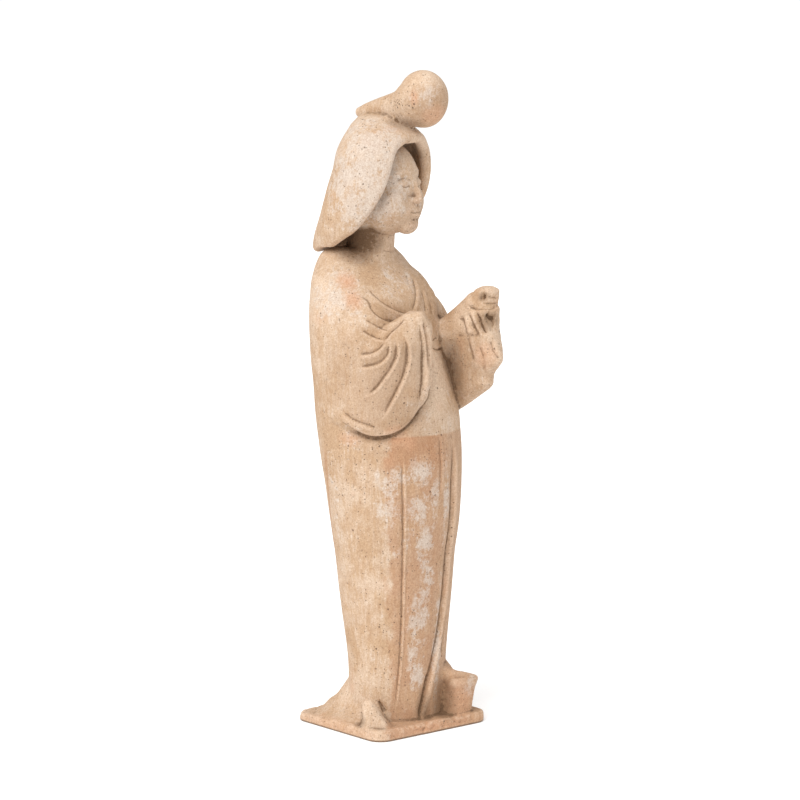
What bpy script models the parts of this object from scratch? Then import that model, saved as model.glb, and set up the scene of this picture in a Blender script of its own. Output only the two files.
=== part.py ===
"""Pottery court lady: a standing figure and its slab base, fired as one piece of clay.

The figure faces -Y and stands on +Z.  The origin is the centre of the slab's underside.
The forms of the figure are written in units of its own height, one unit being a millimetre
at the height given here, so the whole sculpture follows FIGURE_HEIGHT.  Heights are counted
from the top face of the slab.
"""
import math

import bmesh
import bpy
import numpy as np
from mathutils import Matrix, Vector

# Driving sizes in metres

FIGURE_HEIGHT = 0.3635
SLAB_WIDTH = 0.083
SLAB_DEPTH = 0.076
SLAB_THICKNESS = 0.0065
SLAB_CORNER_RADIUS = 0.009
SLAB_EDGE_ROUNDING = 0.0010

# The sculptor's unit, the fineness of the clay and how often each mass is rubbed smooth

UNITS_HIGH = 363.5
UNIT = FIGURE_HEIGHT / UNITS_HIGH
CLAY_GRAIN = 1.1
DRAPED_RUBS = 4
HEAD_RUBS = 3
FIGURE_RUBS = 2
FIGURE_TRIANGLES = 9300

# How finely the forms are cut before they are pressed together

SEGMENTS = 72
RINGS = 60
ROBE_RINGS = 90
HOOD_RINGS = 40
BALL_CUTS = 4
BAR_CUTS = 8
FOLD_CUTS = 30

# How a fold ends, as shares of its length, how pointed its bottom is, how far off its crest
# stands, as a share of the crisp side's width, and the narrowest side this grain takes

FOLD_TAPER = 0.18
FOLD_END = 0.1
FOLD_POINT = 1.4
CREST_OFFSET = 2.0
FOLD_FINEST = 1.1

# How the depth of a fold fades where the skin turns away, and from the face to the hair

VIEW_FADE = 2.5
ROUND_FADE = 2.0
FACE_BACK = -18.0
FACE_BLEND = 4.0

CLAY_COLOUR = (0.62, 0.43, 0.28, 1.0)
CLAY_ROUGHNESS = 0.92

# Ways the forms face: the near sleeve is modelled face on, the head is turned to its left,
# and the folds of the chest and sleeves are laid out from three quarters and a little above

SLEEVE_FACING = math.radians(-50.0)
SLEEVE_BEND = (0.0165, 0.0105)
VIEW_TURN = math.radians(-40.0)
VIEW_DROP = 0.14
HEAD_TURN = math.radians(20.0)
NECK_FOOT = (-1.0, 17.0, 0.0)

# Robe and torso, from hem to shoulders: height, centre x and y, half width, half depth

ROBE = (
    (-3.0, 0.0, -4.5, 28.0, 24.5),
    (13.0, 0.0, -4.7, 28.3, 24.8),
    (35.0, 0.0, -4.7, 29.0, 25.5),
    (50.0, 0.0, -4.3, 31.0, 26.5),
    (70.0, 0.0, -3.6, 33.3, 28.6),
    (92.0, 0.0, -3.2, 35.4, 30.5),
    (112.0, 0.0, -3.0, 38.0, 33.3),
    (134.0, 0.0, -1.5, 40.0, 35.4),
    (148.0, 0.0, 0.2, 41.2, 36.6),
    (160.0, 0.0, 2.0, 41.6, 37.0),
    (172.0, -0.5, 3.2, 42.0, 36.6),
    (180.0, -1.0, 4.3, 42.0, 35.0),
    (192.0, -2.0, 5.8, 42.0, 32.5),
    (204.0, -3.0, 8.4, 41.5, 30.0),
    (216.0, -3.5, 9.8, 41.0, 29.0),
    (228.0, -4.5, 11.3, 39.5, 27.5),
    (239.0, -5.0, 13.5, 37.0, 25.5),
    (248.0, -5.0, 17.5, 33.8, 21.0),
    (255.0, -4.0, 20.3, 30.2, 17.6),
    (260.0, -3.0, 21.5, 25.5, 14.5),
    (264.0, -2.0, 20.5, 17.0, 11.0),
)

# The hem that trails on the slab behind, in the same columns

TRAIN = (
    (-3.0, 0.0, 6.0, 40.5, 31.0),
    (0.0, 0.0, 6.0, 39.5, 30.5),
    (2.0, 0.0, 6.0, 35.5, 28.0),
    (4.5, 0.0, 6.5, 32.0, 25.5),
    (8.0, 0.0, 4.7, 29.0, 22.3),
    (14.0, 0.0, 2.0, 26.5, 20.0),
    (20.0, 0.0, 0.0, 24.0, 18.0),
)

# Near sleeve, face on: height, centre across and back, half width, half thickness

NEAR_SLEEVE = (
    (163.2, -2.5, -36.0, 4.6, 4.5),
    (165.0, -4.7, -36.0, 12.7, 5.5),
    (168.0, -6.7, -36.0, 18.3, 6.2),
    (171.5, -7.5, -36.0, 23.0, 6.5),
    (179.0, -6.2, -35.5, 26.8, 6.8),
    (184.0, -4.9, -35.0, 28.4, 7.0),
    (192.0, -3.8, -34.2, 29.8, 7.0),
    (201.0, -3.3, -33.5, 29.3, 7.0),
    (209.0, -1.2, -33.0, 27.2, 7.0),
    (216.0, 6.4, -32.5, 19.9, 6.8),
    (223.6, 13.4, -30.5, 12.5, 6.5),
    (229.0, 17.3, -29.5, 7.2, 5.5),
    (232.0, 18.9, -29.5, 4.1, 3.5),
)

# Far sleeve hanging from the raised wrist, in the columns of the robe

FAR_SLEEVE = (
    (171.0, 37.0, -11.0, 4.0, 5.0),
    (173.5, 37.0, -11.0, 5.5, 7.0),
    (180.4, 37.0, -17.0, 6.8, 14.0),
    (187.2, 37.0, -23.0, 7.2, 19.5),
    (194.0, 37.0, -26.0, 7.6, 21.3),
    (200.8, 37.0, -28.0, 8.2, 22.1),
    (207.6, 37.0, -28.3, 9.0, 22.0),
    (214.4, 37.0, -27.7, 9.8, 20.8),
    (221.0, 37.0, -29.2, 10.2, 17.4),
    (228.0, 37.0, -33.0, 9.6, 14.0),
    (232.0, 37.0, -36.0, 8.0, 10.0),
)

# Arm, neck and topknot as limbs: x, y, height, radius

NEAR_ARM = (
    (-30.0, 12.0, 236.0, 12.0),
    (-29.5, -1.5, 206.0, 12.0),
    (-20.0, -17.0, 211.0, 12.0),
    (-7.0, -29.0, 222.0, 9.0),
)
FAR_ARM = (
    (29.0, 14.0, 233.0, 10.0),
    (33.0, 8.0, 221.0, 12.0),
    (36.0, 4.0, 200.0, 13.0),
    (37.0, -16.0, 216.0, 12.5),
    (37.0, -32.0, 230.5, 9.5),
)
NECK = (
    (0.0, 4.0, 246.0, 19.0),
    (0.0, 2.0, 255.0, 15.5),
    (0.0, 0.5, 263.0, 13.6),
    (0.0, -1.0, 282.0, 13.0),
)
TOPKNOT = (
    (2.0, 7.5, 339.0, 3.2),
    (2.0, 2.0, 340.2, 4.6),
    (2.0, -9.0, 341.8, 6.8),
    (2.5, -20.0, 343.0, 9.8),
    (3.0, -27.0, 344.6, 13.0),
)
TOPKNOT_BALL = ((3.4, -31.6, 347.0), (14.0, 14.4, 16.1))

# Head and elbow as rounded masses: centre, then radii

SKULL = ((0.0, -6.0, 299.0), (20.5, 22.8, 26.5))
HAIR_FILL = ((0.0, 0.0, 298.0), (29.0, 19.0, 27.0))
JAW = ((0.0, -12.0, 286.5), (19.5, 18.2, 15.0))
CHIN = ((0.0, -23.4, 277.6), (8.0, 6.0, 6.0))
CHEEK = ((8.6, -19.4, 289.5), (10.0, 8.6, 11.0))
EYE = ((8.0, -23.9, 300.2), (4.8, 3.6, 3.0))
NOSTRIL = ((2.4, -30.0, 291.0), (1.7, 2.1, 1.5))
ELBOW = ((-22.0, 0.0, 204.0), (21.0, 22.0, 36.0))

# Fist, in the columns of the robe

FIST = (
    (226.0, 36.5, -34.5, 6.0, 6.5),
    (231.0, 37.0, -35.5, 7.0, 7.8),
    (235.5, 37.4, -36.4, 7.0, 7.8),
    (239.0, 38.2, -37.2, 6.2, 6.9),
    (241.8, 38.8, -37.8, 4.8, 5.4),
    (243.2, 39.0, -38.0, 2.4, 2.6),
)

# Nose, and the half of the lips on the left of the face: x, y, height, radius

NOSE = (
    (0.0, -27.2, 304.5, 1.3),
    (0.0, -29.4, 298.5, 1.5),
    (0.0, -31.2, 293.4, 1.9),
    (0.0, -31.6, 291.6, 2.1),
)
UPPER_LIP = ((0.0, -30.0, 285.3, 1.1), (2.2, -29.8, 285.8, 1.1), (5.8, -27.4, 284.7, 0.6))
LOWER_LIP = ((0.0, -29.9, 282.7, 1.5), (2.4, -29.5, 282.8, 1.3), (4.9, -27.8, 283.7, 0.7))

# The robe running out over the far toe, and the ridge along it: x, y, height, radius

TOE_FLARE = (
    (19.0, -13.5, 36.0, 3.5),
    (20.5, -16.5, 28.0, 4.4),
    (22.5, -20.5, 21.0, 5.6),
    (24.0, -23.0, 13.0, 7.0),
    (25.0, -23.5, 3.0, 8.0),
)
FAR_INSTEP = (
    (20.0, -17.0, 29.0, 3.6),
    (18.5, -24.0, 25.5, 3.4),
    (20.0, -30.0, 22.6, 3.0),
    (26.0, -32.5, 21.0, 2.6),
    (33.0, -33.5, 18.8, 2.4),
)

# The near shoe from under the hem to its toe, in the same columns

NEAR_INSTEP = ((-21.0, -10.5, 2.5, 6.5), (-32.0, -21.5, 3.0, 6.0))

# Upturned toes of the shoes: height, centre x and y, half width, half depth

NEAR_TOE = (
    (-2.0, -1.0, -41.5, 9.6, 5.8),
    (2.0, -1.8, -41.3, 8.2, 5.2),
    (7.0, -4.0, -41.0, 5.4, 4.6),
    (11.5, -5.6, -41.0, 3.9, 3.6),
    (14.8, -6.0, -41.0, 1.8, 1.6),
)
FAR_TOE = (
    (-2.0, 23.8, -28.5, 8.8, 6.5),
    (6.0, 24.2, -29.5, 8.8, 6.2),
    (14.0, 24.8, -31.0, 9.2, 5.5),
    (19.0, 25.0, -32.5, 9.8, 4.5),
    (21.0, 25.0, -33.0, 8.5, 3.0),
)

# Hair: height, centre y, half width, half depth, from the nape up to the crown

HAIR = (
    (255.0, 10.5, 22.0, 22.0),
    (259.0, 9.5, 25.0, 24.0),
    (263.5, 8.0, 27.0, 25.5),
    (268.5, 6.0, 30.0, 26.0),
    (280.5, 1.0, 33.5, 26.0),
    (290.0, -3.3, 34.2, 27.4),
    (299.0, -6.2, 33.6, 27.8),
    (308.5, -8.0, 32.0, 26.6),
    (319.5, -8.2, 29.6, 24.2),
    (329.5, -7.8, 22.0, 19.0),
    (335.0, -5.5, 15.0, 13.0),
    (338.0, -4.0, 8.0, 7.0),
    (339.0, -3.0, 0.5, 0.5),
)

# Lower edge of the hair: degrees round from the front, height

HAIR_RIM = (
    (0.0, 322.5),
    (28.0, 321.0),
    (38.0, 317.5),
    (44.0, 311.0),
    (48.0, 302.5),
    (53.0, 293.0),
    (65.0, 281.0),
    (75.0, 272.0),
    (101.0, 262.5),
    (140.0, 258.5),
    (180.0, 257.5),
)
HAIR_THICKNESS = 6.5

# The rolled edge of the hair: its radius, the degrees between its knots, and the hair's
# usual distance from its axis

HAIR_ROLL = 3.3
ROLL_STEP = 4
HAIR_REACH = 30.0

# Folds pressed into the clay.  Each has its line, the width of its crisp left side as one
# goes along it, the width of its soft side, its depth, and the height of the crest that
# stands along the crisp side; a negative depth is a bead.
# The lines of chest, sleeves and hand run across and up as seen from three quarters.

CHEST_FOLDS = (
    (((11.6, 226.6), (6.2, 227.2), (0.2, 229.6), (-5.8, 233.4), (-10.2, 237.4), (-13.6, 240.8)),
     0.6, 1.6, 1.0, 0.3),
    (((3.9, 222.8), (-0.5, 222.4), (-5.8, 224.2), (-11.0, 228.8), (-13.2, 233.4), (-17.6, 236.3)),
     0.7, 2.0, 1.3, 0.4),
    (((-1.3, 217.0), (-5.8, 218.0), (-10.3, 220.6), (-14.8, 222.8)), 0.6, 1.6, 0.9, 0.2),
    (((-4.3, 212.0), (-6.5, 212.2), (-11.8, 214.2), (-16.3, 217.0)), 0.6, 1.8, 1.2, 0.3),
    (((8.4, 249.6), (10.0, 243.0)), 0.8, 1.2, 0.5, 0.2),
    (((11.8, 248.0), (13.6, 241.4), (13.8, 236.2), (11.8, 228.0)), 0.6, 1.2, 0.8, 0.3),
    (((17.0, 240.6), (18.8, 234.6), (19.6, 227.2)), 0.6, 1.6, 0.8, 0.3),
    (((21.8, 233.2), (23.2, 226.4)), 0.6, 1.4, 0.5, 0.2),
    (((6.8, 223.9), (3.2, 219.8), (-1.3, 215.8), (-4.5, 211.3)), 0.9, 1.6, 1.9, 0.0),
    (((22.9, 208.0), (26.0, 206.8), (28.6, 208.0)), 0.4, 0.7, 0.5, 0.0),
    (((23.0, 211.6), (25.6, 213.8)), 0.4, 0.6, 0.4, 0.0),
)
SLEEVE_FOLDS = (
    (((-4.3, 210.2), (-6.3, 207.3), (-10.0, 204.7), (-14.4, 203.6), (-18.0, 203.6)), 0.6, 2.6, 1.5, 0.5),
    (((-2.3, 208.7), (-2.0, 204.3), (-5.6, 199.5), (-12.2, 197.0), (-17.3, 196.7)), 0.6, 2.8, 1.5, 0.5),
    (((2.0, 210.2), (2.8, 204.3), (0.2, 197.0), (-4.9, 189.6), (-10.7, 183.0), (-13.3, 181.5)),
     0.6, 3.2, 1.7, 0.6),
    (((6.8, 212.4), (8.3, 208.7), (9.0, 201.4), (6.8, 191.8), (2.4, 182.2), (-2.7, 172.7), (-4.5, 169.7)),
     0.6, 3.4, 1.8, 0.7),
    (((14.1, 217.6), (16.0, 211.7), (16.7, 201.4), (16.4, 191.0), (15.2, 182.2), (13.4, 176.3)),
     0.6, 3.0, 1.4, 0.5),
    (((17.0, 221.2), (18.8, 216.1), (19.9, 207.3), (20.8, 198.4), (21.4, 194.6)), 0.7, 1.6, 2.2, 0.3),
    (((-8.5, 162.3), (-14.5, 164.4), (-21.4, 167.2), (-27.0, 171.5)), 0.7, 1.8, 1.0, 0.5),
    (((-28.3, 209.8), (-24.0, 208.4)), 0.5, 1.5, 0.4, 0.0),
)
SLEEVE_EDGE = (
    (((-29.0, 166.8), (-24.5, 163.4), (-19.5, 160.2), (-11.8, 157.3), (-5.3, 157.3), (3.0, 159.6),
      (11.2, 166.0), (16.7, 174.3)), 0.7, 2.6, 2.3, 0.5),
    (((11.2, 166.0), (16.7, 174.3), (20.2, 179.2), (21.6, 187.6), (22.4, 198.0)), 0.7, 1.8, 1.0, 0.4),
)
CUFF_FOLDS = (
    (((38.9, 225.4), (41.0, 218.0), (41.8, 214.4)), 0.8, 2.0, 1.5, 0.6),
    (((42.4, 227.4), (46.0, 218.6), (48.6, 213.4)), 0.8, 2.2, 1.8, 0.7),
    (((45.6, 228.0), (48.4, 221.4), (51.2, 215.6)), 0.7, 1.4, 1.2, 0.5),
    (((48.8, 225.9), (50.6, 219.0)), 0.9, 1.5, 1.9, 0.6),
    (((53.2, 226.4), (53.8, 224.6)), 1.1, 1.3, 1.4, 0.0),
    (((55.0, 224.6), (58.6, 223.6)), 2.2, 2.4, 2.4, 0.0),
    (((42.3, 231.2), (46.6, 229.4), (53.0, 229.4), (58.6, 230.0)), 0.9, 1.4, 1.4, 0.3),
    (((42.0, 213.6), (43.5, 207.2), (45.7, 199.8)), 1.0, 3.4, 1.2, 0.4),
    (((55.4, 211.8), (57.3, 205.2), (61.0, 201.0)), 1.0, 3.4, 1.3, 0.5),
    (((48.5, 209.0), (51.0, 201.0), (51.5, 193.0)), 1.0, 3.0, 0.8, 0.3),
    (((36.4, 214.8), (41.0, 214.0), (48.0, 214.4)), 1.4, 2.4, 0.8, 0.0),
)
FINGER_LINES = (
    (((51.6, 237.6), (52.8, 237.2)), 1.5, 1.7, 2.2, 0.0),
    (((54.4, 241.2), (55.3, 236.3)), 0.5, 0.7, 0.6, 0.0),
    (((54.0, 236.2), (59.2, 235.4)), 0.45, 0.6, 0.9, 0.0),
    (((50.0, 232.8), (54.5, 232.4), (59.2, 232.8)), 0.45, 0.7, 0.9, 0.0),
)
TOE_FOLDS = (
    (((-3.0, 1.6), (-4.7, 4.4), (-6.3, 7.6)), 0.8, 1.8, 2.2, 0.0),
)
VIEW_FOLDS = CHEST_FOLDS + SLEEVE_FOLDS + SLEEVE_EDGE + CUFF_FOLDS + FINGER_LINES + TOE_FOLDS

# The lines of the skirt run round the robe in degrees from the front, and up

SKIRT_FOLDS = (
    (((-34.5, 153.0), (-33.0, 118.0), (-33.0, 75.0), (-34.0, 46.0), (-36.5, 27.0), (-42.0, 4.0)),
     0.45, 1.5, 0.8, 0.7),
    (((10.0, 161.0), (9.0, 146.0), (7.5, 128.0)), 0.9, 0.9, 0.6, 0.2),
    (((28.0, 159.0), (25.5, 130.0), (26.0, 100.0), (23.5, 66.0), (18.5, 46.0), (9.0, 30.0), (-1.0, 14.0),
      (-12.0, -2.0)), 1.0, 2.6, 2.2, 0.7),
    (((35.0, 54.0), (31.5, 38.0), (27.0, 26.0)), 1.0, 1.8, 1.6, 0.0),
    (((66.0, 140.0), (63.0, 90.0), (60.0, 30.0)), 1.2, 2.0, 0.8, 0.2),
    (((100.0, 150.0), (101.0, 90.0), (103.0, 25.0)), 1.2, 2.4, 0.9, 0.2),
    (((138.0, 160.0), (140.0, 90.0), (144.0, 25.0)), 1.4, 2.6, 1.0, 0.2),
    (((180.0, 165.0), (181.0, 90.0), (180.0, 22.0)), 1.4, 2.6, 1.0, 0.2),
    (((222.0, 155.0), (220.0, 90.0), (216.0, 25.0)), 1.2, 2.4, 0.9, 0.2),
)
ROBE_AXIS = (0.0, -3.5)
ROUND_STEP = 0.6

# The lines of the face run across and up as seen from its front, on its left half

FACE_LINES = (
    (((2.6, 305.4), (7.0, 307.4), (13.5, 305.2)), 1.3, 1.3, -0.45, 0.0),
    (((2.8, 301.8), (7.5, 303.6), (12.8, 302.0)), 1.2, 1.2, 0.7, 0.0),
    (((3.6, 300.0), (7.8, 298.4), (12.4, 300.2)), 0.5, 0.7, 0.65, 0.0),
    (((0.0, 284.2), (2.8, 283.9), (6.2, 284.7)), 0.5, 0.5, 0.75, 0.0),
    (((0.0, 279.9), (3.0, 280.2)), 1.3, 1.3, 0.45, 0.0),
    (((0.0, 289.0), (0.0, 286.8)), 0.7, 0.7, 0.25, 0.0),
)

# Places rubbed together by hand before the folds are pressed: centre, radii, passes

RUBBED = (
    ((19.0, 6.0, 285.0), (13.0, 13.0, 17.0), 26),
    ((-9.0, -4.0, 285.0), (13.0, 13.0, 17.0), 26),
    ((8.0, -8.0, 291.0), (22.0, 16.0, 28.0), 2),
    ((-1.0, 8.0, 257.0), (24.0, 18.0, 10.0), 26),
    ((0.0, 4.0, 0.0), (46.0, 40.0, 11.0), 17),
    ((17.0, -27.0, 12.0), (14.0, 9.0, 18.0), 6),
    ((-26.0, -22.0, 3.0), (16.0, 16.0, 8.0), 6),
    ((3.0, -14.0, 344.0), (18.0, 22.0, 18.0), 38),
    ((30.0, -18.0, 226.0), (16.0, 16.0, 16.0), 26),
)

# Places pushed or pulled a little: centre, radii, movement

NUDGED = (
    ((33.0, -49.0, 192.5), (8.0, 7.0, 4.0), (-1.5, 2.2, 0.0)),
    ((34.0, -50.0, 203.0), (9.0, 6.0, 6.0), (0.0, -1.2, 0.0)),
    ((-27.0, -30.0, 4.0), (5.0, 6.0, 9.0), (1.5, 2.6, 0.0)),
)


def spline(table, where):
    """The rows of a table at the places asked for in its first column, on a smooth curve."""
    rows = np.array(table, dtype=float)
    keys = rows[:, 0]
    slopes = np.gradient(rows, keys, axis=0)
    low = np.clip(np.searchsorted(keys, where) - 1, 0, len(keys) - 2)
    gap = (keys[low + 1] - keys[low])[:, None]
    t = (np.asarray(where) - keys[low])[:, None] / gap
    start = (2 * t - 3) * t * t + 1
    start_slope = ((t - 2) * t + 1) * t
    end_slope = (t - 1) * t * t
    pull = start_slope * slopes[low] + end_slope * slopes[low + 1]
    return start * rows[low] + (1 - start) * rows[low + 1] + gap * pull


def ovals(rows, square, bends):
    """One closed oval for each row of height, centre x, centre y, half width and half depth.

    The bends carry the left and the right end of each oval backwards."""
    turn = np.linspace(0.0, 2 * math.pi, SEGMENTS, endpoint=False)
    across = np.sign(np.cos(turn)) * np.abs(np.cos(turn)) ** (2 / square)
    back = np.sign(np.sin(turn)) * np.abs(np.sin(turn)) ** (2 / square)
    height, x, y, half_width, half_depth = (column[:, None] for column in rows.T)
    carried = np.where(across < 0, *bends) * (half_width * across) ** 2
    return np.stack([x + half_width * across, y + half_depth * back + carried, height + 0 * across], axis=2)


def skin(clay, rings, place, closed=True):
    """Faces between rings of points, with flat ends when closed."""
    made = [[clay.verts.new(place @ Vector(point)) for point in ring] for ring in rings]
    for low, high in zip(made, made[1:]):
        for i in range(len(low)):
            j = (i + 1) % len(low)
            clay.faces.new((low[i], low[j], high[j], high[i]))
    if closed:
        clay.faces.new(made[0][::-1])
        clay.faces.new(made[-1])


def loft(clay, table, place=Matrix(), square=2.0, bends=(0.0, 0.0), rings=RINGS):
    heights = np.linspace(table[0][0], table[-1][0], rings)
    skin(clay, ovals(spline(table, heights), square, bends), place)


def ball(clay, centre, radii, place=Matrix()):
    shape = place @ Matrix.Translation(centre) @ Matrix.Diagonal((*radii, 1.0))
    bmesh.ops.create_icosphere(clay, subdivisions=BALL_CUTS, radius=1.0, matrix=shape)


def limb(clay, knots, place=Matrix()):
    """A round bar of changing radius along a bevelled curve, with a ball on each end."""
    curve = bpy.data.curves.new("limb", "CURVE")
    curve.dimensions = "3D"
    curve.bevel_depth = 1.0
    curve.bevel_resolution = BAR_CUTS
    curve.use_fill_caps = True
    bar = curve.splines.new("BEZIER")
    bar.bezier_points.add(len(knots) - 1)
    for point, (x, y, z, radius) in zip(bar.bezier_points, knots):
        point.co = place @ Vector((x, y, z))
        point.radius = radius
        point.handle_left_type = point.handle_right_type = "AUTO"
    holder = bpy.data.objects.new("limb", curve)
    mesh = bpy.data.meshes.new_from_object(holder)
    clay.from_mesh(mesh)
    bpy.data.objects.remove(holder)
    bpy.data.curves.remove(curve)
    bpy.data.meshes.remove(mesh)
    for x, y, z, radius in (knots[0], knots[-1]):
        ball(clay, (x, y, z), (radius, radius, radius), place)


def evaluated(mesh, name, settings):
    """The mesh after a run of modifiers, each given by its type and its settings."""
    holder = bpy.data.objects.new(name, mesh)
    bpy.context.scene.collection.objects.link(holder)
    for kind, values in settings:
        modifier = holder.modifiers.new(kind.title(), kind)
        for key, value in values.items():
            setattr(modifier, key, value)
    bpy.context.view_layer.update()
    graph = bpy.context.evaluated_depsgraph_get()
    result = bpy.data.meshes.new_from_object(holder.evaluated_get(graph))
    bpy.data.objects.remove(holder)
    return result


def fuse(clay, grain, rounds):
    """All forms in the clay pressed into one skin and rubbed smooth."""
    mesh = bpy.data.meshes.new("clay")
    clay.to_mesh(mesh)
    clay.free()
    remesh = ("REMESH", {"mode": "VOXEL", "voxel_size": grain})
    rub = ("SMOOTH", {"factor": 0.5, "iterations": int(rounds)})
    return evaluated(mesh, "clay", (remesh, rub))


def track(path):
    """A smooth line through a few points, cut into short straight lengths."""
    knots = np.array(path, dtype=float)
    lengths = np.hypot(*np.diff(knots, axis=0).T)
    along = np.concatenate([[0.0], np.cumsum(lengths)])
    table = np.column_stack([along, knots])
    return spline(table, np.linspace(0.0, along[-1], FOLD_CUTS + 1))[:, 1:]


def press(flat, fold):
    """How far one fold moves each point out of the skin, from the points' flat positions."""
    path, crisp, soft, depth, crest = fold
    crisp = max(crisp, FOLD_FINEST)
    soft = max(soft, FOLD_FINEST)
    line = track(path)
    reach = 4 * max(crisp, soft)
    inside = np.all((flat > line.min(axis=0) - reach) & (flat < line.max(axis=0) + reach), axis=1)
    near = np.where(inside)[0]
    here = flat[near]
    best = np.full(len(near), np.inf)
    share = np.zeros(len(near))
    for i, (start, end) in enumerate(zip(line, line[1:])):
        run = end - start
        t = np.clip((here - start) @ run / (run @ run), 0.0, 1.0)
        gap = here - start - t[:, None] * run
        side = np.where(run[0] * gap[:, 1] < run[1] * gap[:, 0], -1.0, 1.0)
        away = np.hypot(gap[:, 0], gap[:, 1]) * side
        closer = np.abs(away) < np.abs(best)
        best[closer] = away[closer]
        share[closer] = ((i + t) / (len(line) - 1))[closer]
    to_end = np.minimum(share, 1 - share) / FOLD_TAPER
    fade = np.sin(math.pi / 2 * np.clip(to_end, FOLD_END, 1.0))
    beside = np.clip(best / (CREST_OFFSET * crisp), 0.0, None)
    wide = np.where(best > 0, crisp, soft)
    shape = crest * beside * np.exp((1 - beside ** 2) / 2)
    shape -= depth * np.exp(-np.abs(best / wide) ** FOLD_POINT)
    moved = np.zeros(len(flat))
    moved[near] = shape * fade
    return moved


def points_of(mesh):
    """The mesh's points and outward directions as two arrays."""
    count = len(mesh.vertices)
    points = np.empty(count * 3)
    normals = np.empty(count * 3)
    mesh.vertices.foreach_get("co", points)
    mesh.vertex_normals.foreach_get("vector", normals)
    return points.reshape(-1, 3), normals.reshape(-1, 3)


def edges_of(mesh):
    """The mesh's edges as pairs of point numbers."""
    edges = np.empty(len(mesh.edges) * 2, dtype=np.int32)
    mesh.edges.foreach_get("vertices", edges)
    return edges.reshape(-1, 2)


def inside_spot(points, centre, radii):
    """One at the middle of an ellipsoid, falling smoothly to nothing at its skin."""
    far = np.sum(((points - centre) / radii) ** 2, axis=1)
    return np.clip(1 - far, 0.0, 1.0)


def spread(values, edges, passes):
    """Values on the points shared out along the edges, pass after pass."""
    ends = np.concatenate([edges[:, 0], edges[:, 1]])
    others = np.concatenate([edges[:, 1], edges[:, 0]])
    count = np.maximum(np.bincount(ends, minlength=len(values)), 1)[:, None]
    for _ in range(passes):
        total = np.stack([
            np.bincount(ends, weights=column[others], minlength=len(values)) for column in values.T
        ], axis=1)
        values = (values + total / count) / 2
    return values


def rub(mesh, spots):
    """Even out the skin in a few places, so that one form runs softly into the next."""
    points, _ = points_of(mesh)
    edges = edges_of(mesh)
    for centre, radii, passes in spots:
        share = inside_spot(points, centre, radii)
        near = np.where(share > 0)[0]
        place = np.full(len(points), -1)
        place[near] = np.arange(len(near))
        local = place[edges]
        local = local[(local >= 0).all(axis=1)]
        even = spread(points[near], local, passes)
        points[near] += share[near, None] * (even - points[near])
    mesh.vertices.foreach_set("co", points.ravel())
    mesh.update()


def nudge(mesh, pushes):
    """Push or pull the skin a little in a few places."""
    points, _ = points_of(mesh)
    for centre, radii, move in pushes:
        points += inside_spot(points, centre, radii)[:, None] * move
    mesh.vertices.foreach_set("co", points.ravel())
    mesh.update()


def carve(mesh, layouts):
    """Press groups of folds into a mesh.

    Each layout turns points and outward directions into flat positions and a share of
    depth, and goes with the folds it lays out."""
    points, normals = points_of(mesh)
    moved = np.zeros(len(points))
    for layout, folds in layouts:
        flat, share = layout(points, normals)
        moved += share * sum(press(flat, fold) for fold in folds)
    mesh.vertices.foreach_set("co", (points + normals * moved[:, None]).ravel())
    mesh.update()


def from_three_quarters(points, normals):
    """Across and up as seen from three quarters and a little above."""
    toward = np.array([math.sin(VIEW_TURN), -math.cos(VIEW_TURN), VIEW_DROP])
    across = points[:, 0] * math.cos(VIEW_TURN) + points[:, 1] * math.sin(VIEW_TURN)
    near = points[:, :2] @ toward[:2]
    flat = np.stack([across, points[:, 2] - VIEW_DROP * near], axis=1)
    return flat, np.clip(VIEW_FADE * (normals @ toward), 0.0, 1.0)


def round_the_robe(points, normals):
    """Round the robe's axis from the front, and up; the cut behind is at the right."""
    x = points[:, 0] - ROBE_AXIS[0]
    y = points[:, 1] - ROBE_AXIS[1]
    turn = np.degrees(np.arctan2(x, -y))
    turn = np.where(turn < -90.0, turn + 360.0, turn)
    outward = (normals[:, 0] * x + normals[:, 1] * y) / np.hypot(x, y)
    flat = np.stack([turn * ROUND_STEP, points[:, 2]], axis=1)
    return flat, np.clip(ROUND_FADE * outward, 0.0, 1.0)


def front_of_face(points, normals):
    """Across and up as seen from the front of the face, both halves folded onto its left."""
    x = points[:, 0] - NECK_FOOT[0]
    y = points[:, 1] - NECK_FOOT[1]
    across = x * math.cos(HEAD_TURN) + y * math.sin(HEAD_TURN)
    back = y * math.cos(HEAD_TURN) - x * math.sin(HEAD_TURN)
    share = np.clip((FACE_BACK - back) / FACE_BLEND, 0.0, 1.0)
    return np.stack([np.abs(across), points[:, 2]], axis=1), share


def wrapped(folds):
    """Folds given in degrees round the robe, with the degrees as lengths."""
    return [(np.array(path) * (ROUND_STEP, 1.0), *rest) for path, *rest in folds]


def draped_mass():
    """Robe, trailing hem, arms and both sleeves."""
    clay = bmesh.new()
    loft(clay, ROBE, square=2.1, rings=ROBE_RINGS)
    loft(clay, TRAIN, square=3.0)
    loft(clay, NEAR_SLEEVE, Matrix.Rotation(SLEEVE_FACING, 4, "Z"), square=2.8, bends=SLEEVE_BEND)
    loft(clay, FAR_SLEEVE, square=2.4)
    limb(clay, NEAR_ARM)
    ball(clay, *ELBOW)
    limb(clay, FAR_ARM)
    return fuse(clay, CLAY_GRAIN, DRAPED_RUBS)


def on_hair(turns, heights, inset=0.0):
    """Points on the hair at the given turns in degrees and heights, some way in from its skin."""
    shape = spline(HAIR, heights)
    angle = np.radians(turns)
    x = (shape[:, 2] - inset) * np.sin(angle)
    y = shape[:, 1] - (shape[:, 3] - inset) * np.cos(angle)
    return np.stack([x, y, heights], axis=1)


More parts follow.
